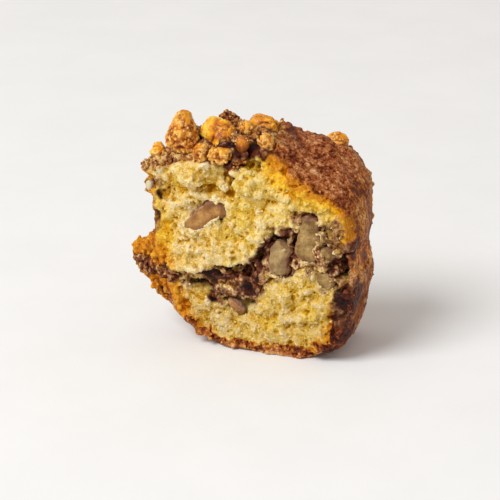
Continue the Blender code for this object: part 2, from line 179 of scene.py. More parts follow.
def outlineTable(corners):
    # how deep each place of the grid lies inside the outline
    outline = roundedOutline(corners)
    (fromX, fromZ), (toX, toZ), step = ring["tableFrom"], ring["tableTo"], ring["tableStep"]
    gx, gz = np.meshgrid(np.arange(fromX, toX, step), np.arange(fromZ, toZ, step), indexing="ij")
    places = np.stack([gx.ravel(), gz.ravel()], 1)
    nearest = np.full(len(places), 1e9)
    crossings = np.zeros(len(places), int)
    for a, b in zip(outline, np.roll(outline, -1, axis=0)):
        side = b - a
        along = np.clip((places - a) @ side / (side @ side + 1e-12), 0.0, 1.0)
        nearest = np.minimum(nearest, np.linalg.norm(places - a - along[:, None] * side, axis=1))
        if a[1] != b[1]:
            between = (a[1] > places[:, 1]) != (b[1] > places[:, 1])
            crossX = a[0] + (places[:, 1] - a[1]) / (b[1] - a[1]) * side[0]
            crossings += between & (places[:, 0] < crossX)
    return np.where(crossings % 2 == 1, nearest, -nearest).reshape(gx.shape)


frontTable = outlineTable(ring["frontCorners"])
backTable = outlineTable(ring["backCorners"])


def readTable(table, x, z):
    u, w = (np.clip((place - start) / ring["tableStep"], 0.0, count - 1.001)
            for place, start, count in zip((x, z), ring["tableFrom"], table.shape))
    i, j = u.astype(int), w.astype(int)
    fu, fw = u - i, w - j
    low = table[i, j] * (1.0 - fu) + table[i + 1, j] * fu
    high = table[i, j + 1] * (1.0 - fu) + table[i + 1, j + 1] * fu
    return low * (1.0 - fw) + high * fw


def placeInSlice(points):
    # for each point: distance out along the ring's radius, share of the slice's angle, depth under the
    # crust and depth behind the nearer of the two cuts
    dx = points[:, 0] - ring["axisX"]
    dy = points[:, 1] - ring["frontFaceY"]
    outwards = np.hypot(dx, dy) + ring["axisX"]
    share = np.arctan2(dy, dx) / ring["sliceAngle"]
    t = np.clip(share, 0.0, 1.0)
    z = points[:, 2]
    depth = (1.0 - t) * readTable(frontTable, outwards, z) + t * readTable(backTable, outwards, z)
    sine, cosine = math.sin(ring["sliceAngle"]), math.cos(ring["sliceAngle"])
    return {"x": outwards, "z": z, "share": share, "depth": depth.astype(np.float32),
            "behindCut": np.minimum(dy, dx * sine - dy * cosine)}


def patchShare(points, kind, seed):
    # 0 outside the patches of that kind, 1 inside, with ragged edges
    local = points - np.array([0.0, ring["frontFaceY"], 0.0])
    nearest = np.full(len(points), 9.0)
    for patch in patches[kind]:
        away = (local - np.array(patch[:3])) / np.array(patch[3:])
        nearest = np.minimum(nearest, np.linalg.norm(away, axis=1))
    ragged = layeredNoise(points, ((0.35, 2.6), (0.2, 1.1)), seed)
    return smoothStep(1.2, 0.75, nearest + ragged)


def toppingShare(points, place):
    # 0 in the bare crumb, 1 in the cinnamon sugar on top
    edge = np.array(ring["toppingEdge"])
    height = np.interp(place["x"], edge[:, 0], edge[:, 1]) + 2.0 * np.clip(place["share"], 0.0, 1.0)
    ragged = layeredNoise(points, ((1.3, 5.0), (0.9, 2.2)), 301)
    above = smoothStep(-0.4, 0.6, points[:, 2] - height + ragged)
    return above * smoothStep(12.0, 5.0, place["x"] + 3.0 * ragged)


# Sculpting in small cubes of space. Each cube holds its distance from the surface in mm, negative inside.

def vectorsOf(mesh, kind):
    # kind is co or normal
    vectors = np.empty(len(mesh.vertices) * 3, np.float32)
    mesh.vertices.foreach_get(kind, vectors)
    return vectors.reshape(-1, 3)


def meshOf(nodeName):
    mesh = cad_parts[nodeName].data
    mesh.calc_loop_triangles()
    corners = np.empty(len(mesh.loop_triangles) * 3, np.int32)
    mesh.loop_triangles.foreach_get("vertices", corners)
    return vectorsOf(mesh, "co") / mm, corners.reshape(-1, 3)


def levelSet(nodeNames, cube, reach):
    points, corners = [], []
    for name in nodeNames:
        nodePoints, nodeCorners = meshOf(name)
        corners.append(nodeCorners + sum(len(p) for p in points))
        points.append(nodePoints)
    return openvdb.FloatGrid.createLevelSetFromPolygons(
        np.concatenate(points), triangles=np.concatenate(corners).astype(np.uint32),
        transform=openvdb.createLinearTransform(cube), halfWidth=reach)


def joined(first, second, blend):
    # both as one body, with the groove between them filled
    mix = np.clip(0.5 + 0.5 * (second - first) / blend, 0.0, 1.0)
    return second * (1.0 - mix) + first * mix - blend * mix * (1.0 - mix)


def startSculpt(groups, cube, blend=1.0):
    # one body of several groups of nodes, with room for relief around it
    margin = 9
    boxes = np.array([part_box(name) for group in groups for name in group]) / (mm * cube)
    low = np.floor(boxes[:, 0].min(axis=0)).astype(int) - margin
    high = np.ceil(boxes[:, 1].max(axis=0)).astype(int) + margin
    empty = np.zeros(tuple(high - low), np.float32)
    sculpt = {"values": empty, "low": low, "cube": cube, "reach": margin * cube}
    sculpt["values"] = fieldOf(groups[0], sculpt)
    for group in groups[1:]:
        sculpt["values"] = joined(sculpt["values"], fieldOf(group, sculpt), blend)
    return sculpt


def fieldOf(nodeNames, sculpt):
    # distance from other nodes, in the same cubes
    grid = levelSet(nodeNames, sculpt["cube"], sculpt["reach"] / sculpt["cube"])
    values = np.full(sculpt["values"].shape, sculpt["reach"], np.float32)
    grid.copyToArray(values, ijk=tuple(int(c) for c in sculpt["low"]))
    return values


def softened(values, passes):
    for _ in range(passes):
        for axis in range(3):
            values = 0.5 * values + 0.25 * (np.roll(values, 1, axis) + np.roll(values, -1, axis))
    return values


def nearSurface(sculpt, within):
    band = np.nonzero(np.abs(sculpt["values"]) < min(within, 0.98 * sculpt["reach"]))
    return band, (np.stack(band, 1) + sculpt["low"]) * sculpt["cube"]


def readSculpt(sculpt, values, points):
    # value at each point, blended between the eight cubes around it
    scaled = points / sculpt["cube"] - sculpt["low"]
    cell = np.clip(np.floor(scaled).astype(int), 0, np.array(values.shape) - 2)
    part = (scaled - cell).astype(np.float32)
    total = np.zeros(len(points), np.float32)
    for dx, dy, dz, weight in cornersOf(part):
        total += weight * values[cell[:, 0] + dx, cell[:, 1] + dy, cell[:, 2] + dz]
    return total


def surfaceSpots(sculpt, rule, spacing, shareAt):
    # random places on the surface about that far apart, with the way out there
    values, cube = sculpt["values"], sculpt["cube"]
    cells = np.nonzero(np.abs(values) < 0.5 * cube)
    picked = rule.random(len(cells[0])) < min(1.0, (cube / spacing) ** 2)
    i, j, k = (c[picked] for c in cells)
    points = (np.stack([i, j, k], 1) + sculpt["low"]) * cube
    outwards = np.stack([
        values[i + 1, j, k] - values[i - 1, j, k], values[i, j + 1, k] - values[i, j - 1, k],
        values[i, j, k + 1] - values[i, j, k - 1]], 1)
    outwards /= np.linalg.norm(outwards, axis=1)[:, None] + 1e-9
    points = points + rule.uniform(-0.5, 0.5, points.shape) * cube
    kept = rule.random(len(points)) < shareAt(points)
    return points[kept], outwards[kept]


def balls(sculpt, centres, radii, hollow=False, blend=0.0, stretch=None):
    # adds a ball at each centre, or hollows it out
    values, low, cube = sculpt["values"], sculpt["low"], sculpt["cube"]
    shape = np.array(values.shape)
    for n, (centre, radius) in enumerate(zip(centres, radii)):
        factors = np.ones(3) if stretch is None else stretch[n]
        half = radius * factors + 1.5 * cube + blend
        first = np.maximum(np.floor((centre - half) / cube).astype(int) - low, 0)
        last = np.minimum(np.ceil((centre + half) / cube).astype(int) - low + 1, shape)
        if np.any(last <= first):
            continue
        x, y, z = (((np.arange(first[axis], last[axis]) + low[axis]) * cube - centre[axis]) / factors[axis]
                   for axis in range(3))
        away = np.sqrt(x[:, None, None] ** 2 + y[None, :, None] ** 2 + z[None, None, :] ** 2) - radius
        block = values[first[0]:last[0], first[1]:last[1], first[2]:last[2]]
        if hollow:
            np.maximum(block, -away, out=block)
        elif blend > 0.0:
            block[...] = joined(block, away, blend)
        else:
            np.minimum(block, away, out=block)


def strew(sculpt, rule, shareAt, spacing, sizes, sunk, uneven=0.0, blend=0.0):
    # sunk is how far under the surface the middle of each ball lies, as a share of its radius
    points, outwards = surfaceSpots(sculpt, rule, spacing, shareAt)
    radii = sizes[0] + (sizes[1] - sizes[0]) * rule.random(len(points)) ** 1.6
    centres = points - outwards * (radii * (sunk + rule.uniform(-0.15, 0.15, len(points))))[:, None]
    stretch = rule.uniform(1.0 - uneven, 1.0 + uneven, (len(points), 3)) if uneven else None
    balls(sculpt, centres, radii, sunk < 0.0, blend, stretch)


def largestPart(points, quads):
    # keeps the one body and drops loose scraps and sealed bubbles
    edges = np.concatenate([quads[:, [0, 1]], quads[:, [1, 2]], quads[:, [2, 3]], quads[:, [3, 0]]])
    labels = np.arange(len(points))
    while True:
        lower = np.minimum(labels[edges[:, 0]], labels[edges[:, 1]])
        new = labels.copy()
        np.minimum.at(new, edges[:, 0], lower)
        np.minimum.at(new, edges[:, 1], lower)
        new = new[new]
        new = new[new]
        if np.array_equal(new, labels):
            break
        labels = new
    kept = labels == np.bincount(labels).argmax()
    renumber = np.cumsum(kept) - 1
    return points[kept], renumber[quads[kept[quads[:, 0]]]]


def addObject(name, data):
    obj = bpy.data.objects.new(name, data)
    bpy.context.scene.collection.objects.link(obj)
    return obj


def meshFrom(name, points, faces):
    mesh = bpy.data.meshes.new(name)
    sides = faces.shape[1]
    mesh.vertices.add(len(points))
    mesh.vertices.foreach_set("co", (points * mm).astype(np.float32).ravel())
    mesh.loops.add(faces.size)
    mesh.loops.foreach_set("vertex_index", faces.astype(np.int32).ravel())
    mesh.polygons.add(len(faces))
    mesh.polygons.foreach_set("loop_start", np.arange(0, faces.size, sides, dtype=np.int32))
    mesh.polygons.foreach_set("loop_total", np.full(len(faces), sides, np.int32))
    mesh.update(calc_edges=True)
    mesh.validate()
    mesh.shade_smooth()
    return addObject(name, mesh)


def keepValues(obj, layers):
    # stores values at the points of the mesh, for the materials
    for name, values in layers.items():
        kept = np.zeros(len(obj.data.vertices), np.float32)
        kept[:] = values
        obj.data.attributes.new(name, "FLOAT", "POINT").data.foreach_set("value", kept)


def thinned(obj, most):
    # at most that many triangles, with the shape kept
    count = sum(len(polygon.vertices) - 2 for polygon in obj.data.polygons)
    if count > most:
        modifier = obj.modifiers.new("thinned", "DECIMATE")
        modifier.ratio = most / count
        full = obj.data
        obj.data = bpy.data.meshes.new_from_object(obj.evaluated_get(bpy.context.evaluated_depsgraph_get()))
        obj.modifiers.clear()
        bpy.data.meshes.remove(full)
    print(obj.name, "has", min(count, most), "triangles")


def reliefOf(sculpt, fine, wide):
    # the same body softened a little, and softened a lot
    little = softened(sculpt["values"], fine)
    return {"peak": little, "rise": softened(little, wide)}


def finishSculpt(sculpt, values, name, relief, most):
    # makes the mesh, and keeps how far each point stands out of the softened bodies
    grid = openvdb.FloatGrid(sculpt["reach"])
    grid.transform = openvdb.createLinearTransform(sculpt["cube"])
    grid.copyFromArray(values, ijk=tuple(int(c) for c in sculpt["low"]))
    points, _, quads = grid.convertToPolygons(isovalue=0.0, adaptivity=0.0)
    points, quads = largestPart(points, quads.astype(np.int64))
    obj = meshFrom(name, points, quads)
    thinned(obj, most)
    points = vectorsOf(obj.data, "co") / mm
    keepValues(obj, {layer: readSculpt(sculpt, softer, points) for layer, softer in relief.items()})
    return obj, points


# Materials

def setInputs(node, values):
    # links what comes from another node, and sets numbers and colours on the node's own sockets
    for key, value in values.items():
        socket = node.inputs[key]
        if isinstance(value, bpy.types.NodeSocket):
            node.id_data.links.new(value, socket)
        else:
            socket.default_value = (*value, 1.0) if socket.type == "RGBA" else value


def addNode(tree, kind, inputs, **settings):
    node = tree.nodes.new(kind)
    for key, value in settings.items():
        setattr(node, key, value)
    setInputs(node, inputs)
    return node


def newMaterial(name):
    material = bpy.data.materials.new(name)
    material.use_nodes = True
    return material, material.node_tree, material.node_tree.nodes["Principled BSDF"]


def treeOf(values):
    return next(value for value in values if isinstance(value, bpy.types.NodeSocket)).id_data


def calc(operation, *values):
    return addNode(treeOf(values), "ShaderNodeMath", dict(enumerate(values)), operation=operation).outputs[0]


def weigh(total, *terms):
    # total plus each value times its weight
    for value, weight in terms:
        total = calc("MULTIPLY_ADD", value, weight, total)
    return total


def spread(value, low, high, toLow=0.0, toHigh=1.0):
    inputs = dict(enumerate((value, low, high, toLow, toHigh)))
    return addNode(value.id_data, "ShaderNodeMapRange", inputs, interpolation_type="SMOOTHSTEP").outputs[0]


def ramp(value, *stops):
    # stops are place, red, green and blue
    node = addNode(value.id_data, "ShaderNodeValToRGB", {0: value})
    elements = node.color_ramp.elements
    while len(elements) < len(stops):
        elements.new(0.5)
    for element, (place, *colour) in zip(elements, stops):
        element.position = place
        element.color = (*colour, 1.0)
    return node.outputs[0]


def mixColours(factor, first, second, blend="MIX"):
    inputs = {0: factor, 6: first, 7: second}
    tree = treeOf(inputs.values())
    return addNode(tree, "ShaderNodeMix", inputs, data_type="RGBA", blend_type=blend).outputs[2]


def addBump(height, distance, strength=1.0, **normal):
    # distance in mm
    inputs = {"Height": height, "Distance": distance * mm, "Strength": strength, **normal}
    return addNode(height.id_data, "ShaderNodeBump", inputs).outputs["Normal"]


def attributes(tree, *names):
    # what keepValues stored
    return {name: addNode(tree, "ShaderNodeAttribute", {}, attribute_name=name).outputs["Fac"]
            for name in names}


def readRelief(tree):
    return {name.title(): value for name, value in attributes(tree, "peak", "rise").items()}


def scatter(weight, radius, scale):
    # light under the surface, scale in mm
    return {"Subsurface Weight": weight, "Subsurface Radius": radius, "Subsurface Scale": scale * mm}


def newGroup(name, inputs, outputs):
    tree = bpy.data.node_groups.new(name, "ShaderNodeTree")
    for label, value in inputs.items():
        socket = tree.interface.new_socket(name=label, in_out="INPUT", socket_type="NodeSocketFloat")
        socket.default_value = value
    for label, kind in outputs.items():
        tree.interface.new_socket(name=label, in_out="OUTPUT", socket_type="NodeSocket" + kind)
    return tree, tree.nodes.new("NodeGroupInput").outputs, tree.nodes.new("NodeGroupOutput")


def placeGroup(tree, group, values):
    return addNode(tree, "ShaderNodeGroup", values, node_tree=group).outputs


def mottled(tree, coarse, fine, shift):
    # sizes in mm
    inputs = {"Coarse Size": coarse * mm, "Fine Size": fine * mm, "Shift": shift}
    return placeGroup(tree, mottleGroup, inputs)


def makeMottleGroup():
    # coarse and fine irregularity of baked food, each a mask from 0 to 1, and fine grain
    tree, given, made = newGroup(
        "bakedMottle", {"Coarse Size": 0.004, "Fine Size": 0.0009, "Shift": 0.0},
        {"Coarse": "Float", "Fine": "Float", "Grain": "Float"})
    where = tree.nodes.new("ShaderNodeTexCoord").outputs["Object"]
    moved = addNode(tree, "ShaderNodeVectorMath", {0: where, 1: given["Shift"]}, operation="ADD").outputs[0]
    for name in ("Coarse", "Fine"):
        scale = calc("DIVIDE", 1.0, given[name + " Size"])
        inputs = {"Vector": moved, "Scale": scale, "Detail": 3.0, "Roughness": 0.6}
        noise = addNode(tree, "ShaderNodeTexNoise", inputs)
        setInputs(made, {name: spread(noise.outputs["Fac"], 0.32, 0.68)})
    inputs = {"Vector": moved, "Scale": calc("DIVIDE", 0.6, given["Fine Size"]), "Smoothness": 0.4}
    cells = addNode(tree, "ShaderNodeTexVoronoi", inputs, feature="SMOOTH_F1")
    setInputs(made, {"Grain": calc("SUBTRACT", 1.0, cells.outputs["Distance"])})
    return tree


def makeCrustGroup():
    # baked crust: thick and cocoa brown where Outer is 1, thin and orange where it is 0
    tree, given, made = newGroup(
        "bakedCrust", {"Outer": 1.0, "Darker": 0.0, "Peak": 0.0, "Rise": 0.0}, colourAndRoughness)
    mottle = mottled(tree, 3.0, 0.75, 0.21)
    wide = mottled(tree, 9.0, 1.6, 0.67)
    fine = mottled(tree, 1.4, 0.6, 0.77)
    # darker in the hollows and lighter on the tops of the grains: partly the crust's own colour, partly
    # painted shade
    shade = weigh(-0.33, (given["Peak"], 0.95), (given["Rise"], 0.25), (fine["Fine"], 0.34),
                  (fine["Coarse"], 0.34), (mottle["Coarse"], 0.34), (wide["Coarse"], 0.38),
                  (wide["Fine"], 0.22), (given["Darker"], -0.56))
    thick = ramp(shade, (0.0, 0.055, 0.006, 0.001), (0.3, 0.22, 0.038, 0.008), (0.52, 0.45, 0.122, 0.03),
                 (0.76, 0.67, 0.27, 0.096), (1.0, 0.88, 0.52, 0.25))
    thin = ramp(shade, (0.0, 0.08, 0.01, 0.001), (0.3, 0.25, 0.05, 0.003), (0.55, 0.5, 0.14, 0.008),
                (0.8, 0.75, 0.28, 0.02), (1.0, 0.9, 0.5, 0.09))
    setInputs(made, {"Colour": mixColours(given["Outer"], thin, thick),
                     "Roughness": spread(shade, 0.1, 0.9, 0.42, 0.68)})
    return tree


def makeSyrupGroup():
    # wet cinnamon syrup, nearly black in the hollows and mauve brown where it is thin; the dark hollows are
    # partly its own colour, partly painted shade
    tree, given, made = newGroup("cinnamonSyrup", {"Peak": 0.0, "Rise": 0.0}, colourAndRoughness)
    mottle = mottled(tree, 3.4, 1.0, 0.43)
    shade = weigh(0.0, (given["Peak"], 0.9), (given["Rise"], 0.2), (mottle["Coarse"], 0.42),
                  (mottle["Fine"], 0.3))
    colour = ramp(shade, (0.0, 0.01, 0.001, 0.0005), (0.35, 0.04, 0.006, 0.002), (0.65, 0.11, 0.019, 0.007),
                  (0.88, 0.21, 0.056, 0.026), (1.0, 0.36, 0.16, 0.1))
    setInputs(made, {"Colour": colour, "Roughness": spread(mottle["Fine"], 0.2, 0.8, 0.2, 0.5)})
    return tree


def makeSugarGroup():
    # cinnamon sugar and crushed nut: dark in the gaps, partly its own colour and partly painted shade, amber
    # on the grains
    tree, given, made = newGroup(
        "cinnamonSugar", {"Peak": 0.0, "Rise": 0.0, "Darker": 0.0}, colourAndRoughness)
    mottle = mottled(tree, 4.2, 0.7, 0.87)
    shade = weigh(-0.05, (given["Peak"], 1.1), (given["Rise"], 0.35), (mottle["Fine"], 0.42),
                  (mottle["Coarse"], 0.55), (given["Darker"], -0.42))
    colour = ramp(shade, (0.0, 0.04, 0.005, 0.001), (0.28, 0.14, 0.023, 0.005), (0.5, 0.33, 0.084, 0.016),
                  (0.75, 0.64, 0.245, 0.05), (1.0, 0.9, 0.59, 0.22))
    setInputs(made, {"Colour": colour, "Roughness": spread(mottle["Fine"], 0.2, 0.9, 0.3, 0.6)})
    return tree


colourAndRoughness = {"Colour": "Color", "Roughness": "Float"}
mottleGroup = makeMottleGroup()
crustGroup = makeCrustGroup()
syrupGroup = makeSyrupGroup()
sugarGroup = makeSugarGroup()


# Crumb and crust

cake = {
    "cube": 0.38,
    "blend": 1.0,
    # passes that soften the solids, and the copies that the relief is measured from
    "softening": 5,
    "reliefPasses": (5, 24),
    # waves are heights and sizes of bumps
    "crumbWaves": ((1.2, 8.0), (0.9, 3.8), (0.55, 1.9), (0.42, 1.0)),
    "crustWaves": ((0.7, 9.0), (0.4, 4.2), (0.14, 1.7)),
    "toppingWaves": ((0.9, 4.6), (0.55, 2.0), (0.35, 1.05)),
    "borderWaves": ((0.8, 3.4), (0.35, 1.3)),
    # where crumb hangs over the filling: x, z, half sizes and how far
    "borderShifts": [(-14.0, 31.5, 9.0, 3.0, 1.5), (-31.0, 30.5, 6.0, 2.4, 1.0)],
    # balls that swell the surface, or hollow it where they lie outside: zone, spacing, smallest and largest
    # radius, share of the radius under the surface, how uneven they are and how softly they join
    "coarse": [
        ("crumb", 3.2, (0.8, 1.7), 0.75, 0.3), ("crumb", 4.6, (0.6, 1.4), -0.6, 0.35),
        ("moist", 4.0, (1.0, 2.0), -0.5, 0.35), ("wet", 2.2, (0.8, 1.9), 0.6, 0.3, 0.7),
    ],
    "fine": [
        ("crumb", 0.74, (0.25, 0.54), 0.35, 0.65), ("crumb", 2.4, (0.3, 0.55), -0.3, 0.5),
        ("moist", 1.3, (0.35, 0.8), 0.5, 0.35), ("crust", 1.6, (0.5, 1.1), 0.9, 0.0, 0.3),
        ("crust", 3.4, (0.3, 0.65), -0.5), ("flap", 2.4, (0.9, 2.0), 0.35, 0.3),
        ("flap", 1.1, (0.35, 0.85), 0.1, 0.5), ("topping", 2.0, (0.8, 1.8), 0.5, 0.3),
        ("topping", 1.7, (0.35, 0.8), 0.45, 0.2),
    ],
    # how far the zones lie under the solids
    "crumbSunk": 0.3,
    "toppingSunk": 0.7,
    "moistSunk": 0.15,
    "wetSunk": 0.5,
    "syrupSunk": 0.9,
    # free space around the cut kernels, less than 0 where crumb laps over them, and how high the laps rise
    "nutGap": -0.3,
    "coverRise": 0.9,
    # swelling of the crust at the back: middle, half sizes and height
    "heap": ((16.0, 17.0, 77.0), (11.0, 10.0, 9.0), 2.4),
    # ledges and hollows of the torn crumb: x, z, half sizes along x and z, height
    "torn": [
        (-24, 70.5, 4, 3.4, 1.9), (-28, 66, 5, 4, 1.6), (-7.6, 67.5, 4.4, 4.6, 1.9),
        (-1.6, 65.5, 4.6, 5, 0.9), (-17.6, 59, 2.6, 1.4, 1), (-30.5, 30.6, 6, 1.7, 1.5),
        (-23.5, 30.8, 4, 1.5, 1.1), (-39, 65.4, 4, 3, 0.6), (-0.5, 50.6, 8, 2.6, 0.8),
        (10.6, 57, 7, 4, 0.5), (-20.4, 62.4, 4.6, 2.2, -2), (-12.9, 60.8, 2.4, 2.6, -2),
        (-7.5, 74.4, 5.5, 1.8, -1.8), (-13.4, 67.4, 2.2, 4.6, -2.2), (-12, 45.5, 4.6, 2.6, -0.9),
        (-35, 60.5, 3.4, 2, -1.2), (-33, 55.6, 5, 2.2, 0.8), (-26, 45.5, 6, 1.6, -0.9),
        (-36, 45, 3, 4, -0.8), (3, 60.5, 3, 2, -0.8), (8, 68, 4, 2, 0.7), (14, 62, 3, 1.8, -0.8),
        (-4, 45, 4, 2.4, 0.8), (20, 22, 4, 3, 0.8), (-9.5, 19.4, 4.5, 3.4, -1),
        (18, 13.5, 3.6, 2.6, -0.7), (2, 26, 6, 3, 0.6),
    ],
}


def zonesOf(points):
    # share of each finish at each point
    place = placeInSlice(points)
    flap = smoothStep(0.4, -1.2, place["depth"]) * smoothStep(-37.0, -40.0, place["x"])
    flap *= smoothStep(44.0, 38.0, place["z"])
    topping = toppingShare(points, place)
    crumb = smoothStep(0.6, 2.0, place["depth"]) * (1.0 - topping)
    crust = (1.0 - crumb) * (1.0 - topping) * (1.0 - flap)
    wet = patchShare(points, "wet", 311) * ((place["share"] < 0.6) | (place["x"] < -36.0))
    return place, {"crumb": crumb, "topping": topping, "crust": crust, "flap": flap, "wet": wet}


def tornHeight(points):
    local = points - np.array([0.0, ring["frontFaceY"], 0.0])
    shiftX = layeredNoise(points, ((1.0, 2.6),), 61)
    shiftZ = layeredNoise(points, ((1.0, 2.6),), 67)
    height = np.zeros(len(points), np.float32)
    for x, z, halfX, halfZ, rise in cake["torn"]:
        away = ((local[:, 0] + shiftX - x) / halfX) ** 2 + ((local[:, 2] + shiftZ - z) / halfZ) ** 2
        height += rise * np.exp(-1.1 * away * away)
    return height * smoothStep(7.0, 3.0, local[:, 1])


def borderOf(sculpt, upper, lower, moist):
    # negative in the filling, positive in the cake above and below, with a ragged border
    border = 0.5 * (moist - np.minimum(upper, lower))
    near = np.nonzero((np.abs(border) < 2.5) & (sculpt["values"] < 2.5))
    points = (np.stack(near, 1) + sculpt["low"]) * sculpt["cube"]
    border[near] += layeredNoise(points, cake["borderWaves"], 59)
    for x, z, halfX, halfZ, shift in cake["borderShifts"]:
        away = ((points[:, 0] - x) / halfX) ** 2 + ((points[:, 2] - z) / halfZ) ** 2
        border[near] += shift * np.exp(-away * away) * smoothStep(-4.0, -8.0, points[:, 1])
    return border


def coverShare(points):
    # 1 where crumb laps over the cut kernels
    share = np.zeros(len(points), np.float32)
    ragged = layeredNoise(points, ((0.5, 2.2), (0.3, 1.0)), 71)
    for x, z, halfX, halfZ in nuts["covers"]:
        away = np.hypot((points[:, 0] - x) / halfX, (points[:, 2] - z) / halfZ)
        share = np.maximum(share, smoothStep(1.15, 0.75, away + ragged))
    return share * smoothStep(-4.0, -7.0, points[:, 1])


def clearNuts(sculpt, names, gap, waves, seed, ahead=0):
    # takes away what would hide the nuts, also that many cubes ahead of them, but laps over their edge here
    # and there
    field = fieldOf(names, sculpt)
    band = np.nonzero(np.abs(field) < 2.5)
    points = (np.stack(band, 1) + sculpt["low"]) * sculpt["cube"]
    field[band] += np.maximum(0.0, layeredNoise(points, waves, seed)) + 4.0 * coverShare(points)
    swept = field.copy()
    for step in range(1, ahead + 1):
        np.minimum(swept[:, :-step], field[:, step:], out=swept[:, :-step])
    np.maximum(sculpt["values"], gap - swept, out=sculpt["values"])


def clearFloor(sculpt):
    heights = (np.arange(sculpt["values"].shape[2]) + sculpt["low"][2]) * sculpt["cube"]
    np.maximum(sculpt["values"], -heights[None, None, :].astype(np.float32), out=sculpt["values"])


def raiseZones(sculpt, border):
    band, points = nearSurface(sculpt, 3.2)
    place, zones = zonesOf(points)
    moist = zones["crumb"] * smoothStep(0.4, -0.4, border[band])
    waves = layeredNoise(points, cake["crumbWaves"], 31) - cake["crumbSunk"]
    height = zones["crumb"] * (waves + tornHeight(points))
    height += (zones["crust"] + zones["flap"]) * layeredNoise(points, cake["crustWaves"], 37)
    middle, halfSizes, rise = cake["heap"]
    heap = (points - np.array(middle)) / np.array(halfSizes)
    height += rise * zones["crust"] * np.exp(-(heap ** 2).sum(axis=1))
    height += zones["topping"] * (layeredNoise(points, cake["toppingWaves"], 43) - cake["toppingSunk"])
    height -= moist * (cake["moistSunk"] + cake["syrupSunk"] * zones["wet"])
    height -= cake["wetSunk"] * zones["wet"] * (place["depth"] > 0.8)
    height += cake["coverRise"] * coverShare(points)
    sculpt["values"][band] -= height


def sculptSlice():
    # one body for cake and filling, torn and baked, then parted along the border
    rule = np.random.default_rng(101)
    names = ("cake_upper", "cake_lower", "cinnamon_filling")
    sculpt = startSculpt([[name] for name in names] + [nuts["cut"]], cake["cube"], cake["blend"])
    upper, lower, moist = (fieldOf([name], sculpt) for name in names)
    border = borderOf(sculpt, upper, lower, moist)
    sculpt["values"] = softened(sculpt["values"], cake["softening"])
    raiseZones(sculpt, border)

    def zone(name):
        def share(points):
            zones = zonesOf(points)[1]
            soaked = smoothStep(0.4, -0.4, readSculpt(sculpt, border, points))
            zones["moist"] = zones["crumb"] * soaked
            zones["crumb"] = zones["crumb"] * (1.0 - soaked)
            return zones[name] * (1.0 if name in ("wet", "flap") else 1.0 - zones["wet"])
        return share

    for zoneName, *settings in cake["coarse"]:
        strew(sculpt, rule, zone(zoneName), *settings)
    sculpt["values"] = softened(sculpt["values"], 1)
    for zoneName, *settings in cake["fine"]:
        strew(sculpt, rule, zone(zoneName), *settings)
    clearNuts(sculpt, nuts["cut"], cake["nutGap"], ((1.1, 2.8), (0.5, 1.3)), 53, ahead=7)
    inFront = [name for name in nuts["toasted"] if name not in nuts["sunk"]]
    clearNuts(sculpt, inFront, -0.1, ((0.4, 1.8), (0.2, 0.9)), 55)
    clearFloor(sculpt)
    relief = reliefOf(sculpt, *cake["reliefPasses"])
    # node: name of the piece, what bounds it and most triangles
    parts = {
        "cake_upper": ("cake_upper_baked", np.maximum(-border, 0.5 * (upper - lower)), 190000),
        "cake_lower": ("cake_lower_baked", np.maximum(-border, 0.5 * (lower - upper)), 160000),
        "cinnamon_filling": ("cinnamon_filling_moist", border, 120000),
    }
    pieces = []
    for nodeName, (pieceName, part, most) in parts.items():
        obj, points = finishSculpt(sculpt, np.maximum(sculpt["values"], part), pieceName, relief, most)
        describeSurface(obj, points, readSculpt(sculpt, moist, points))
        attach(obj, "root")
        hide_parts(nodeName)
        pieces.append(obj)
    return pieces


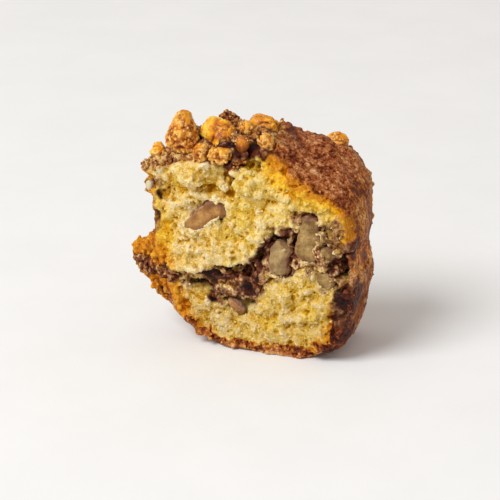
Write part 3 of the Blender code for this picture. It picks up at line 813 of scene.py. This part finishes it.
def describeSurface(obj, points, fromFilling):
    # values that the materials read, in mm or from 0 to 1
    place, zones = zonesOf(points)
    x, z = place["x"], place["z"]
    baked = patchShare(points, "baked", 327)
    # towards the lower right the crust is darker: partly its own baked colour, partly painted shade on that
    # corner turned from the light
    darkBakedAndShaded = baked * smoothStep(18.0, 27.0, x)
    overlap = 1.6 * smoothStep(5.0, 11.0, x) * smoothStep(56.0, 64.0, z)
    cutEdge = smoothStep(3.2, 0.8, place["behindCut"]) * smoothStep(7.0, 12.0, x) * smoothStep(52.0, 62.0, z)
    glazed = np.maximum(0.3 * darkBakedAndShaded, 0.35 * patchShare(points, "glazed", 337))
    near = fromFilling + layeredNoise(points, ((0.6, 3.0), (0.4, 1.3)), 319)
    soaked = smoothStep(2.0, 0.2, near) * smoothStep(0.5, 2.5, place["depth"])
    chance = smoothStep(0.15, 0.55, layeredNoise(points, ((0.6, 5.0), (0.5, 1.9)), 323))
    # dark thick crust on the outer side, over the crest and under the slice, thin orange crust elsewhere
    outer = np.maximum(smoothStep(20.0, 31.0, x), smoothStep(-2.0, 8.0, x) * smoothStep(46.0, 62.0, z))
    # painted light: thinner, lighter orange crust on the right side, standing in for light on that shaded
    # side
    outer *= 1.0 - 0.6 * smoothStep(28.0, 33.5, x) * smoothStep(12.0, 26.0, z) * smoothStep(76.0, 60.0, z)
    uneven = layeredNoise(points, ((0.5, 5.0), (0.3, 2.0)), 331)
    low = smoothStep(9.0, 1.0, z) * np.clip(0.6 + uneven, 0.0, 1.0)
    outer = np.maximum(np.maximum(outer, low), np.clip(0.3 + uneven, 0.0, 0.8))
    outer *= (1.0 - 0.6 * zones["flap"]) * (1.0 - 0.6 * cutEdge)
    outer = np.maximum(outer, baked * (0.5 + 0.5 * smoothStep(14.0, 26.0, x)))
    # how wide the golden rim under the crust is
    wideRim = 1.0 + 0.9 * smoothStep(24.0, 31.0, x) * smoothStep(70.0, 60.0, z) * smoothStep(38.0, 46.0, z)
    wideRim += 1.0 * smoothStep(-22.0, -30.0, x) + 1.4 * smoothStep(14.0, 26.0, x) * smoothStep(32.0, 20.0, z)
    wideRim += 1.5 * smoothStep(-3.0, 2.0, x) * smoothStep(26.0, 16.0, x) * smoothStep(58.0, 66.0, z)
    noRim = smoothStep(0.0, -4.0, x) * smoothStep(62.0, 68.0, z)
    keepValues(obj, {
        "underCrust": (place["depth"] - 9.0 * baked - overlap) * (1.0 - zones["flap"]) + 0.5 * zones["flap"],
        # painted shade: 1 towards the bottom and the right side, where less light falls
        "paintedShade": np.maximum(0.85 * smoothStep(32.0, 14.0, z), 0.6 * smoothStep(4.0, 22.0, x)),
        "topping": zones["topping"],
        # darker cinnamon sugar in some patches, less dark where painted light falls on the lumps
        "brown": patchShare(points, "brown", 329) - patchShare(points, "paintedLitSugar", 335),
        # crust darker: at the lower right partly painted shade, along the cut edge near the crest and on the
        # flap its own colour
        "baked": np.maximum(np.maximum(darkBakedAndShaded, 0.45 * cutEdge), 0.4 * zones["flap"]),
        "wet": np.maximum(zones["wet"], glazed),
        "lowRim": smoothStep(46.0, 30.0, z),
        "bare": patchShare(points, "bare", 333),
        "stain": np.maximum(patchShare(points, "stain", 313), soaked),
        "gold": np.maximum(0.9 * patchShare(points, "gold", 317), 0.55 * chance),
        # painted light: 1 towards the left, where more light falls on the crumb
        "paintedLightLeft": 0.7 * smoothStep(-6.0, -24.0, x + 6.0 * chance),
        "outer": np.clip(outer, 0.0, 1.0),
        "rimWidth": wideRim * (1.0 - 0.95 * noRim),
    })


def makeCakeMaterial():
    material, tree, shader = newMaterial("crumbAndCrust")
    mottle = mottled(tree, 3.0, 0.7, 0.0)
    wide = mottled(tree, 10.0, 1.7, 0.31)
    relief = readRelief(tree)
    kept = attributes(tree, "underCrust", "rimWidth", "lowRim", "paintedLightLeft", "paintedShade", "gold", "outer", "baked",
                      "stain", "brown", "topping", "wet")
    # crumb: cream on the high grains, yellow between, gold in the pores; the darker pores are partly the
    # crumb's own colour, partly painted shade
    tone = weigh(0.13, (relief["Peak"], 0.5), (relief["Rise"], 0.32), (mottle["Fine"], 0.3),
                 (wide["Fine"], 0.14), (mottle["Coarse"], 0.24), (wide["Coarse"], 0.2))
    crumb = ramp(tone, (0.0, 0.3, 0.1, 0.001), (0.2, 0.56, 0.29, 0.006), (0.38, 0.78, 0.5, 0.07),
                 (0.6, 0.88, 0.65, 0.22), (1.0, 0.96, 0.8, 0.46))
    # painted light: paler crumb for the left part, where more light falls
    paintedLightLeft = ramp(tone, (0.0, 0.32, 0.1, 0.001), (0.26, 0.58, 0.29, 0.015), (0.5, 0.82, 0.56, 0.17),
                 (1.0, 0.96, 0.83, 0.57))
    yellow = ramp(tone, (0.0, 0.38, 0.14, 0.002), (0.35, 0.66, 0.36, 0.01), (0.7, 0.84, 0.56, 0.06),
                  (1.0, 0.92, 0.72, 0.22))
    crumb = mixColours(kept["paintedLightLeft"], crumb, paintedLightLeft)
    # painted shade: the crumb darkened towards the bottom and the right side
    crumb = mixColours(kept["paintedShade"], crumb, (0.84, 0.8, 0.8), "MULTIPLY")
    crumb = mixColours(calc("MULTIPLY", kept["gold"], 0.8), crumb, yellow)
    # darker gold hollows here and there
    crumb = mixColours(calc("MULTIPLY", spread(wide["Fine"], 0.8, 1.0), 0.5), crumb, (0.4, 0.21, 0.003))
    # golden rim, then orange, towards the crust
    under = calc("DIVIDE", kept["underCrust"], calc("MAXIMUM", kept["rimWidth"], 0.05))
    shift = weigh(under, (mottle["Coarse"], -1.5), (wide["Fine"], -0.9))
    golden = ramp(tone, (0.0, 0.54, 0.2, 0.002), (0.4, 0.93, 0.46, 0.009), (1.0, 0.98, 0.71, 0.08))
    deeper = ramp(tone, (0.0, 0.3, 0.07, 0.001), (0.4, 0.6, 0.2, 0.003), (1.0, 0.9, 0.5, 0.04))
    orange = ramp(tone, (0.0, 0.14, 0.022, 0.001), (0.4, 0.5, 0.13, 0.004), (1.0, 0.84, 0.38, 0.03))
    golden = mixColours(kept["lowRim"], golden, deeper)
    colour = mixColours(spread(shift, 0.8, 3.4, 0.95, 0.0), crumb, golden)
    colour = mixColours(spread(shift, -0.5, 1.0, 1.0, 0.0), colour, orange)
    crust = placeGroup(tree, crustGroup, {"Outer": kept["outer"], "Darker": kept["baked"], **relief})
    outside = spread(weigh(kept["underCrust"], (mottle["Coarse"], -1.0)), -0.9, 0.25, 1.0, 0.0)
    colour = mixColours(outside, colour, crust["Colour"])
    # crumb that the cinnamon has soaked
    soaked = ramp(tone, (0.0, 0.04, 0.008, 0.002), (0.35, 0.11, 0.034, 0.011), (0.65, 0.25, 0.096, 0.038),
                  (1.0, 0.55, 0.31, 0.14))
    stain = calc("MULTIPLY", kept["stain"], spread(mottle["Coarse"], 0.1, 0.7, 0.6, 1.0))
    colour = mixColours(stain, colour, soaked)
    # cinnamon sugar and syrup
    sugar = placeGroup(tree, sugarGroup, {"Darker": kept["brown"], **relief})
    syrup = placeGroup(tree, syrupGroup, relief)
    colour = mixColours(kept["topping"], colour, sugar["Colour"])
    colour = mixColours(kept["wet"], colour, syrup["Colour"])
    dry = calc("MAXIMUM", outside, kept["topping"])
    rough = mixColours(dry, (0.9, 0.9, 0.9), crust["Roughness"])
    # the crust is finely cracked and sugared, the crumb soft
    crackle = mottled(tree, 1.4, 0.6, 0.77)
    cracked = calc("MULTIPLY", weigh(0.0, (crackle["Fine"], 0.6), (crackle["Coarse"], 0.5)), dry)
    normal = addBump(mottle["Grain"], 0.3, 0.6, Normal=addBump(mottle["Fine"], 0.3))
    setInputs(shader, {
        "Base Color": colour,
        "Roughness": mixColours(kept["wet"], rough, syrup["Roughness"]),
        "Coat Weight": weigh(0.0, (kept["wet"], 0.14), (outside, 0.1)),
        "Coat Roughness": 0.15,
        "Specular IOR Level": 0.06,
        "Normal": addBump(cracked, 0.34, Normal=normal),
        **scatter(spread(dry, 0.0, 1.0, 0.4, 0.0), (1.0, 0.6, 0.2), 0.8),
    })
    return material


# Cinnamon filling

def makeFillingMaterial():
    material, tree, shader = newMaterial("moistFilling")
    mottle = mottled(tree, 3.2, 0.8, 0.7)
    wide = mottled(tree, 7.0, 1.8, 0.13)
    relief = readRelief(tree)
    kept = attributes(tree, "bare", "wet", "outer", "baked", "underCrust")
    # cinnamon-soaked crumb, paler where it is bare, with syrup between
    # darker in the hollows, lighter on the raised bits: partly the filling's own colour, partly painted shade
    tone = weigh(-0.02, (relief["Peak"], 0.95), (relief["Rise"], 0.3), (mottle["Fine"], 0.34),
                 (mottle["Coarse"], 0.36), (wide["Fine"], 0.24))
    soaked = ramp(tone, (0.0, 0.03, 0.004, 0.001), (0.28, 0.1, 0.024, 0.009), (0.52, 0.22, 0.076, 0.032),
                  (0.78, 0.42, 0.21, 0.085), (1.0, 0.74, 0.52, 0.25))
    pale = ramp(tone, (0.0, 0.16, 0.055, 0.012), (0.3, 0.42, 0.21, 0.05), (0.6, 0.66, 0.43, 0.14),
                (1.0, 0.88, 0.71, 0.36))
    bare = calc("MULTIPLY", kept["bare"], spread(mottle["Coarse"], 0.1, 0.7, 0.35, 0.95))
    syrup = placeGroup(tree, syrupGroup, relief)
    chance = calc("MULTIPLY", spread(wide["Coarse"], 0.6, 0.85, 0.0, 0.7), calc("SUBTRACT", 1.0, bare))
    wet = calc("MAXIMUM", kept["wet"], chance)
    colour = mixColours(wet, mixColours(bare, soaked, pale), syrup["Colour"])
    crust = placeGroup(tree, crustGroup, {"Outer": kept["outer"], "Darker": kept["baked"], **relief})
    outside = spread(weigh(kept["underCrust"], (mottle["Coarse"], -1.0)), -0.9, 0.6, 1.0, 0.0)
    darker = mixColours(calc("MULTIPLY", wet, 0.7), crust["Colour"], syrup["Colour"])
    rough = mixColours(wet, (0.7, 0.7, 0.7), syrup["Roughness"])
    setInputs(shader, {
        "Base Color": mixColours(outside, colour, darker),
        "Roughness": mixColours(outside, rough, crust["Roughness"]),
        "Coat Weight": calc("MULTIPLY", wet, 0.16),
        "Coat Roughness": 0.15,
        "Specular IOR Level": 0.1,
        "Normal": addBump(mottle["Grain"], 0.2, 0.6, Normal=addBump(mottle["Fine"], 0.2)),
        **scatter(0.1, (1.0, 0.45, 0.2), 0.6),
    })
    return material


# Walnuts

nuts = {
    "cube": 0.27,
    "mostTriangles": 24000,
    "toastedSoftening": 18,
    "cutSoftening": 4,
    "reliefPasses": (6, 20),
    # how deep the folds and the swelling reach
    "reach": 1.8,
    "toasted": [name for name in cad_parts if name.startswith("walnut_top_")],
    "cut": [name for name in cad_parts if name.startswith("walnut_cut_")],
    "sunk": ["walnut_top_far"],
    # how far the cut flesh stands out in front of the cut
    "cutAhead": 0.25,
    "folds": ((0.62, 4.8), (0.22, 1.9)),
    "creases": ((0.12, 3.0), (0.08, 1.1)),
    "dustWaves": ((0.3, 1.4), (0.24, 0.8)),
    # spacing, radii, share under the surface and unevenness
    "dustGrains": (1.5, (0.3, 0.6), 0.4, 0.3),
    # for each kernel on top: depth of its folds, share that the cinnamon sugar covers upwards from below,
    # how much it swells in mm, and how dark it is roasted
    "toastedFinish": {
        "walnut_top_tall": (0.6, 0.75, 0.7, 0.0), "walnut_top_crown": (1.0, 0.0, 0.9, 0.1),
        "walnut_top_back": (0.8, 0.35, 0.6, 0.35), "walnut_top_drop": (0.15, 0.0, 0.0, 0.8),
        "walnut_top_golden": (0.7, 0.8, 0.4, 0.0), "walnut_top_front": (0.6, 0.8, 0.35, 0.1),
        "walnut_top_middle": (1.0, 0.85, 0.1, 0.3), "walnut_top_small": (0.9, 0.6, 0.2, 0.3),
        "walnut_top_rear": (0.9, 0.7, 0.3, 0.2), "walnut_top_edge": (0.9, 0.4, 0.1, 0.1),
        "walnut_top_far": (1.1, 0.6, -0.1, 0.25),
    },
    # extra flesh: place in the kernel's box, from 0 to 1 along x, y and z, and radius in mm
    "shoulders": {"walnut_top_tall": [((0.5, 0.45, 0.62), 3.0), ((0.48, 0.45, 0.45), 4.3)]},
    # for each cut kernel: depth of its folds, swell in mm, how warm its flesh is, and how pale
    "cutFinish": {
        "walnut_cut_left": (1.0, 0.7, 0.9, 0.0), "walnut_cut_tall": (1.0, 0.6, 0.35, 0.0),
        "walnut_cut_middle": (1.0, 0.6, 0.3, 0.1), "walnut_cut_small": (0.9, 0.5, 0.3, 0.0),
        "walnut_cut_right": (0.9, 0.6, 0.3, 0.0), "walnut_cut_sliver": (0.6, 0.4, 1.0, 0.0),
        "walnut_cut_pale": (0.3, -0.5, 0.4, 0.9),
    },
    # where crumb laps over the cut kernels: x, z and half sizes
    "covers": [
        (22.4, 42.6, 3.2, 6.0), (28.4, 43.5, 1.8, 3.0), (12.2, 36.0, 1.6, 2.6), (7.5, 31.0, 4.6, 1.3),
        (-13.4, 55.8, 1.6, 3.6), (-23.0, 58.6, 5.5, 1.9), (16.0, 33.6, 4.0, 1.4),
    ],
}


def foldHeight(points, seed):
    # ridges with sharp grooves between them, as on a kernel
    height = np.zeros(len(points), np.float32)
    for i, (rise, size) in enumerate(nuts["folds"]):
        height += rise * (np.abs(valueNoise(points, size, seed + 11 * i)) ** 0.7 * 2.0 - 0.75)
    return height


def startKernel(nodeName, softening):
    sculpt = startSculpt([[nodeName]], nuts["cube"])
    sculpt["values"] = softened(sculpt["values"], softening)
    return sculpt


def finishKernel(sculpt, nodeName):
    relief = reliefOf(sculpt, *nuts["reliefPasses"])
    return finishSculpt(sculpt, sculpt["values"], nodeName + "_kernel", relief, nuts["mostTriangles"])


def sculptToasted(nodeName, seed):
    rule = np.random.default_rng(seed)
    folds, dusted, swell, roast = nuts["toastedFinish"][nodeName]
    sculpt = startKernel(nodeName, nuts["toastedSoftening"])
    low, high = (np.array(corner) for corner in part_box(nodeName))
    for share, size in nuts["shoulders"].get(nodeName, []):
        balls(sculpt, [(low + (high - low) * np.array(share)) / mm], [size], blend=1.5)

    def dustAt(places):
        up = (places[:, 2] - low[2] / mm) / (high[2] - low[2]) * mm
        ragged = layeredNoise(places, ((0.35, 3.0), (0.2, 1.2)), seed + 3)
        return smoothStep(0.22, -0.2, up - dusted * 1.15 + 1.4 * ragged) * (dusted > 0.0)

    band, points = nearSurface(sculpt, nuts["reach"])
    rough = dustAt(points) * layeredNoise(points, nuts["dustWaves"], seed + 5)
    sculpt["values"][band] -= folds * foldHeight(points, seed) + swell + rough
    strew(sculpt, rule, dustAt, *nuts["dustGrains"])
    obj, points = finishKernel(sculpt, nodeName)
    keepValues(obj, {"dust": dustAt(points), "roast": roast})
    return obj


def sculptCut(nodeName, seed):
    folds, swell, warm, pale = nuts["cutFinish"][nodeName]
    sculpt = startKernel(nodeName, nuts["cutSoftening"])
    band, points = nearSurface(sculpt, nuts["reach"])
    # the knife left the flesh almost flat
    flesh = smoothStep(0.8, -0.3, points[:, 1] - ring["frontFaceY"])
    swollen = sculpt["values"][band] - (folds * foldHeight(points, seed) * (1.0 - 0.8 * flesh) + swell)
    creases = layeredNoise(points, nuts["creases"], seed + 9) - 0.4 * foldHeight(points, seed + 21)
    knife = ring["frontFaceY"] - nuts["cutAhead"] - points[:, 1] + creases
    sculpt["values"][band] = np.maximum(swollen, knife)
    obj, points = finishKernel(sculpt, nodeName)
    keepValues(obj, {"fromSkin": distanceFromSkin(obj, points), "warm": warm, "pale": pale})
    return obj


def distanceFromSkin(obj, points):
    # on the flat cut of a kernel: how far a point is from the rim, in mm
    onCut = (vectorsOf(obj.data, "normal")[:, 1] < -0.6) & (points[:, 1] < points[:, 1].min() + 2.2)
    rim = points[~onCut]
    tree = KDTree(len(rim))
    for i, point in enumerate(rim):
        tree.insert(point, i)
    tree.balance()
    result = np.zeros(len(points), np.float32)
    for i in np.nonzero(onCut)[0]:
        result[i] = tree.find(points[i])[2]
    return result


def makeToastedMaterial():
    material, tree, shader = newMaterial("glazedWalnut")
    mottle = mottled(tree, 2.8, 0.6, 0.45)
    wide = mottled(tree, 7.0, 1.5, 0.9)
    relief = readRelief(tree)
    kept = attributes(tree, "roast", "dust")
    # darker in the grooves, lighter on the ridges: partly the kernel's own colour, partly painted shade
    tone = weigh(0.1, (relief["Peak"], 1.2), (relief["Rise"], 0.4), (mottle["Coarse"], 0.25),
                 (wide["Coarse"], 0.34), (kept["roast"], -0.5))
    colour = ramp(tone, (0.0, 0.15, 0.032, 0.002), (0.2, 0.4, 0.105, 0.004), (0.42, 0.7, 0.245, 0.008),
                  (0.66, 0.86, 0.39, 0.012), (1.0, 0.95, 0.61, 0.07))
    # thin dusting of cinnamon, then the thick sugar
    colour = mixColours(spread(mottle["Fine"], 0.72, 0.92, 0.0, 0.4), colour, (0.22, 0.07, 0.015))
    sugar = placeGroup(tree, sugarGroup, {"Darker": -0.35, **relief})
    rough = spread(mottle["Fine"], 0.2, 0.9, 0.24, 0.45)
    setInputs(shader, {
        "Base Color": mixColours(kept["dust"], colour, mixColours(0.4, sugar["Colour"], colour)),
        "Roughness": mixColours(kept["dust"], rough, sugar["Roughness"]),
        "Coat Weight": spread(kept["dust"], 0.0, 1.0, 0.22, 0.05),
        "Coat Roughness": 0.1,
        "Specular IOR Level": 0.15,
        "Normal": addBump(mottle["Coarse"], 0.2, 0.6, Normal=addBump(mottle["Fine"], 0.1)),
        **scatter(0.4, (1.0, 0.42, 0.08), 1.8),
    })
    return material


def makeCutMaterial():
    material, tree, shader = newMaterial("cutWalnut")
    mottle = mottled(tree, 2.6, 0.5, 0.22)
    wide = mottled(tree, 6.0, 1.4, 0.52)
    relief = readRelief(tree)
    kept = attributes(tree, "fromSkin", "warm", "pale")
    veins = spread(wide["Fine"], 0.42, 0.58)
    ridge = calc("MULTIPLY", veins, calc("SUBTRACT", 1.0, veins))
    # darker in the creases: partly the flesh's own colour, partly painted shade
    shade = weigh(0.1, (mottle["Fine"], 0.07), (mottle["Coarse"], 0.1), (wide["Coarse"], 0.34),
                  (relief["Peak"], 0.4), (relief["Rise"], 0.2), (ridge, -0.7),
                  (spread(kept["fromSkin"], 0.0, 3.0), 0.34))
    flesh = ramp(shade, (0.0, 0.08, 0.042, 0.008), (0.45, 0.22, 0.132, 0.031), (1.0, 0.64, 0.475, 0.18))
    warm = ramp(shade, (0.0, 0.1, 0.024, 0.003), (0.45, 0.26, 0.088, 0.012), (1.0, 0.67, 0.355, 0.09))
    pale = ramp(shade, (0.0, 0.5, 0.36, 0.17), (1.0, 0.86, 0.76, 0.55))
    skin = ramp(shade, (0.0, 0.1, 0.032, 0.014), (0.35, 0.26, 0.1, 0.05), (1.0, 0.66, 0.44, 0.3))
    flesh = mixColours(kept["pale"], mixColours(kept["warm"], flesh, warm), pale)
    within = weigh(kept["fromSkin"], (wide["Coarse"], 0.5), (mottle["Coarse"], -0.35), (kept["pale"], 0.6),
                   (kept["warm"], -0.3))
    setInputs(shader, {
        "Base Color": mixColours(spread(within, -0.3, 0.7), skin, flesh),
        "Roughness": spread(mottle["Fine"], 0.2, 0.9, 0.36, 0.55),
        "Coat Weight": 0.1,
        "Coat Roughness": 0.25,
        "Specular IOR Level": 0.35,
        "Normal": addBump(wide["Fine"], 0.35, 0.6, Normal=addBump(mottle["Fine"], 0.08)),
        **scatter(0.45, (1.0, 0.6, 0.3), 1.6),
    })
    return material


# Loose grains that stick to the surface

def grainShape():
    # a ball of twenty faces
    golden = (1.0 + 5.0 ** 0.5) / 2.0
    points = np.array([(-1, golden, 0), (1, golden, 0), (-1, -golden, 0), (1, -golden, 0),
                       (0, -1, golden), (0, 1, golden), (0, -1, -golden), (0, 1, -golden),
                       (golden, 0, -1), (golden, 0, 1), (-golden, 0, -1), (-golden, 0, 1)], float)
    faces = np.array([(0, 11, 5), (0, 5, 1), (0, 1, 7), (0, 7, 10), (0, 10, 11), (1, 5, 9), (5, 11, 4),
                      (11, 10, 2), (10, 7, 6), (7, 1, 8), (3, 9, 4), (3, 4, 2), (3, 2, 6), (3, 6, 8),
                      (3, 8, 9), (4, 9, 5), (2, 4, 11), (6, 2, 10), (8, 6, 7), (9, 8, 1)])
    return points / np.linalg.norm(points[0]), faces


def randomTurns(rule, count):
    return np.array([Quaternion(turn).normalized().to_matrix() for turn in rule.normal(size=(count, 4))])


def surfacePoints(objects, chosen):
    # vertices and normals of the objects where chosen(points, normals) says so
    spots, normals = [], []
    for obj in objects:
        points, facing = vectorsOf(obj.data, "co") / mm, vectorsOf(obj.data, "normal")
        keep = chosen(points, facing)
        spots.append(points[keep])
        normals.append(facing[keep])
    return np.concatenate(spots), np.concatenate(normals)


def scatterGrains(name, objects, chosen, seed, material):
    count, low, high, sunk, angular = grains[name]
    rule = np.random.default_rng(seed)
    spots, normals = surfacePoints(objects, chosen)
    picked = rule.choice(len(spots), min(count, len(spots)), replace=False)
    count = len(picked)
    radii = low + (high - low) * rule.random(count) ** 2
    places = spots[picked] + normals[picked] * (radii * (1.0 - 2.0 * sunk))[:, None]
    ball, faces = grainShape()
    points = ball[None] * (1.0 + angular * rule.uniform(-1.0, 1.0, (count, 12, 1)))
    points = points * rule.uniform(0.65, 1.25, (count, 1, 3)) * radii[:, None, None]
    points = np.einsum("nij,nkj->nki", randomTurns(rule, count), points) + places[:, None, :]
    allFaces = faces[None] + 12 * np.arange(count)[:, None, None]
    obj = meshFrom(name, points.reshape(-1, 3), allFaces.reshape(-1, 3))
    keepValues(obj, {"tone": np.repeat(rule.random(count), 12)})
    obj.data.materials.append(material)
    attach(obj, "root")
    print(name, "has", 20 * count, "triangles")


def makeGrainMaterial(name, roughness, coat, glow, stops):
    material, tree, shader = newMaterial(name)
    mottle = mottled(tree, 1.2, 0.4, 0.6)
    shade = weigh(0.0, (mottle["Fine"], 0.25), (attributes(tree, "tone")["tone"], 0.8))
    setInputs(shader, {
        "Base Color": ramp(shade, *stops),
        "Roughness": roughness,
        "Coat Weight": coat,
        "Specular IOR Level": 0.2,
        "Normal": addBump(mottle["Fine"], 0.08),
        **scatter(glow, (1.0, 0.7, 0.4), 0.6),
    })
    return material


# how many of each, smallest and largest radius, share of it sunk in, and how angular
grains = {
    "crust_bits": (1300, 0.14, 0.32, 0.6, 0.3),
    "crumb_bits": (1000, 0.2, 0.55, 0.6, 0.3),
    "topping_bits": (1500, 0.25, 0.8, 0.55, 0.3),
    "sugar_grains": (900, 0.14, 0.32, 0.5, 0.2),
}


def onCrust(points, normals):
    place, zones = zonesOf(points)
    outer = (place["x"] > 18.0) | ((place["x"] > -2.0) & (points[:, 2] > 60.0))
    return (zones["crust"] > 0.6) & outer & (points[:, 2] > 1.5)


def onCrumb(points, normals):
    place, zones = zonesOf(points)
    inside = (zones["crumb"] > 0.7) & (place["depth"] > 4.5) & (place["behindCut"] < 1.6)
    return inside & (zones["wet"] < 0.3) & (patchShare(points, "baked", 327) < 0.1)


def onTopping(points, normals):
    zones = zonesOf(points)[1]
    return (zones["topping"] > 0.6) & (zones["wet"] < 0.3) & (normals[:, 2] > -0.4)


def onSugar(points, normals):
    crest = (points[:, 2] > 74.0) & (normals[:, 2] > -0.2) & (points[:, 0] < 0.0)
    return onTopping(points, normals) | (crest & (zonesOf(points)[1]["wet"] < 0.3))


# Making the slice

*cakePieces, fillingPiece = sculptSlice()
cakeMaterial = makeCakeMaterial()
for piece in cakePieces:
    piece.data.materials.append(cakeMaterial)
fillingPiece.data.materials.append(makeFillingMaterial())
print("cake and filling made")

toastedMaterial = makeToastedMaterial()
cutMaterial = makeCutMaterial()
toppingNuts = []
for i, nodeName in enumerate(nuts["toasted"] + nuts["cut"]):
    isCut = nodeName in nuts["cut"]
    kernel = (sculptCut if isCut else sculptToasted)(nodeName, 501 + 31 * i)
    kernel.data.materials.append(cutMaterial if isCut else toastedMaterial)
    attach(kernel, "root")
    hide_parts(nodeName)
    if not isCut:
        toppingNuts.append(kernel)
print("walnuts made")

# roughness, coat and how much light shines through, then the colours from dark to light
crustGrain = makeGrainMaterial("crustGrain", 0.4, 0.2, 0.0, (
    (0.0, 0.07, 0.016, 0.006), (0.5, 0.26, 0.08, 0.026), (1.0, 0.56, 0.25, 0.09)))
looseCrumb = makeGrainMaterial("looseCrumb", 0.85, 0.0, 0.3, (
    (0.0, 0.66, 0.4, 0.06), (0.5, 0.84, 0.62, 0.21), (1.0, 0.93, 0.8, 0.46)))
cinnamonBit = makeGrainMaterial("cinnamonBit", 0.45, 0.2, 0.0, (
    (0.0, 0.06, 0.016, 0.006), (0.5, 0.3, 0.1, 0.024), (1.0, 0.7, 0.36, 0.09)))
sugarGrain = makeGrainMaterial("sugarGrain", 0.12, 0.6, 0.3, (
    (0.0, 0.5, 0.2, 0.03), (0.6, 0.85, 0.55, 0.2), (1.0, 0.95, 0.84, 0.62)))
scatterGrains("crust_bits", cakePieces, onCrust, 61, crustGrain)
scatterGrains("crumb_bits", cakePieces, onCrumb, 63, looseCrumb)
scatterGrains("topping_bits", cakePieces, onTopping, 65, cinnamonBit)
scatterGrains("sugar_grains", cakePieces[:1] + toppingNuts, onSugar, 67, sugarGrain)
print("grains made")

# Floor, light and camera

studio = {
    "floorSize": 6.0,
    "keySize": 1.5,
    "keyPower": 63.0,
    "keyColour": (0.965, 0.99, 1.0),
    "keyPlace": (-1.02, -1.56, 2.06),
    "keyAim": (0.0, 0.0, 0.04),
    "skyStrength": 0.56,
    "skyColour": (1.0, 0.925, 0.88),
    "camera": (0.23336, -0.66622, 0.31646),
    "cameraTurn": (90.0 - 21.6, 0.0, 20.0),
    "lens": 147.4,
}

half = studio["floorSize"] / 2.0
floorCorners = [(-half, -half, 0.0), (half, -half, 0.0), (half, half, 0.0), (-half, half, 0.0)]
floorMesh = bpy.data.meshes.new("floor")
floorMesh.from_pydata(floorCorners, [], [(0, 1, 2, 3)])
floor = addObject("floor", floorMesh)
floorMaterial, floorTree, floorShader = newMaterial("paleFloor")
floorMottle = mottled(floorTree, 50.0, 2.0, 0.0)
floorColour = mixColours(floorMottle["Coarse"], (0.825, 0.83, 0.825), (0.845, 0.85, 0.845))
setInputs(floorShader, {"Base Color": floorColour, "Roughness": 0.9, "Specular IOR Level": 0.2})
floor.data.materials.append(floorMaterial)

world = bpy.data.worlds.new("studio")
bpy.context.scene.world = world
world.use_nodes = True
sky = {"Color": studio["skyColour"], "Strength": studio["skyStrength"]}
setInputs(world.node_tree.nodes["Background"], sky)

keyData = bpy.data.lights.new("key", "AREA")
keyData.shape = "DISK"
keyData.size = studio["keySize"]
keyData.energy = studio["keyPower"]
keyData.color = studio["keyColour"]
key = addObject("key", keyData)
key.location = studio["keyPlace"]
key.rotation_euler = (Vector(studio["keyAim"]) - key.location).to_track_quat("-Z", "Y").to_euler()

cameraData = bpy.data.cameras.new("camera")
cameraData.lens = studio["lens"]
cameraData.sensor_width = 36.0
camera = addObject("camera", cameraData)
camera.location = studio["camera"]
camera.rotation_euler = [math.radians(turn) for turn in studio["cameraTurn"]]
bpy.context.scene.camera = camera
bpy.context.scene.view_settings.view_transform = "Standard"
print("studio made")
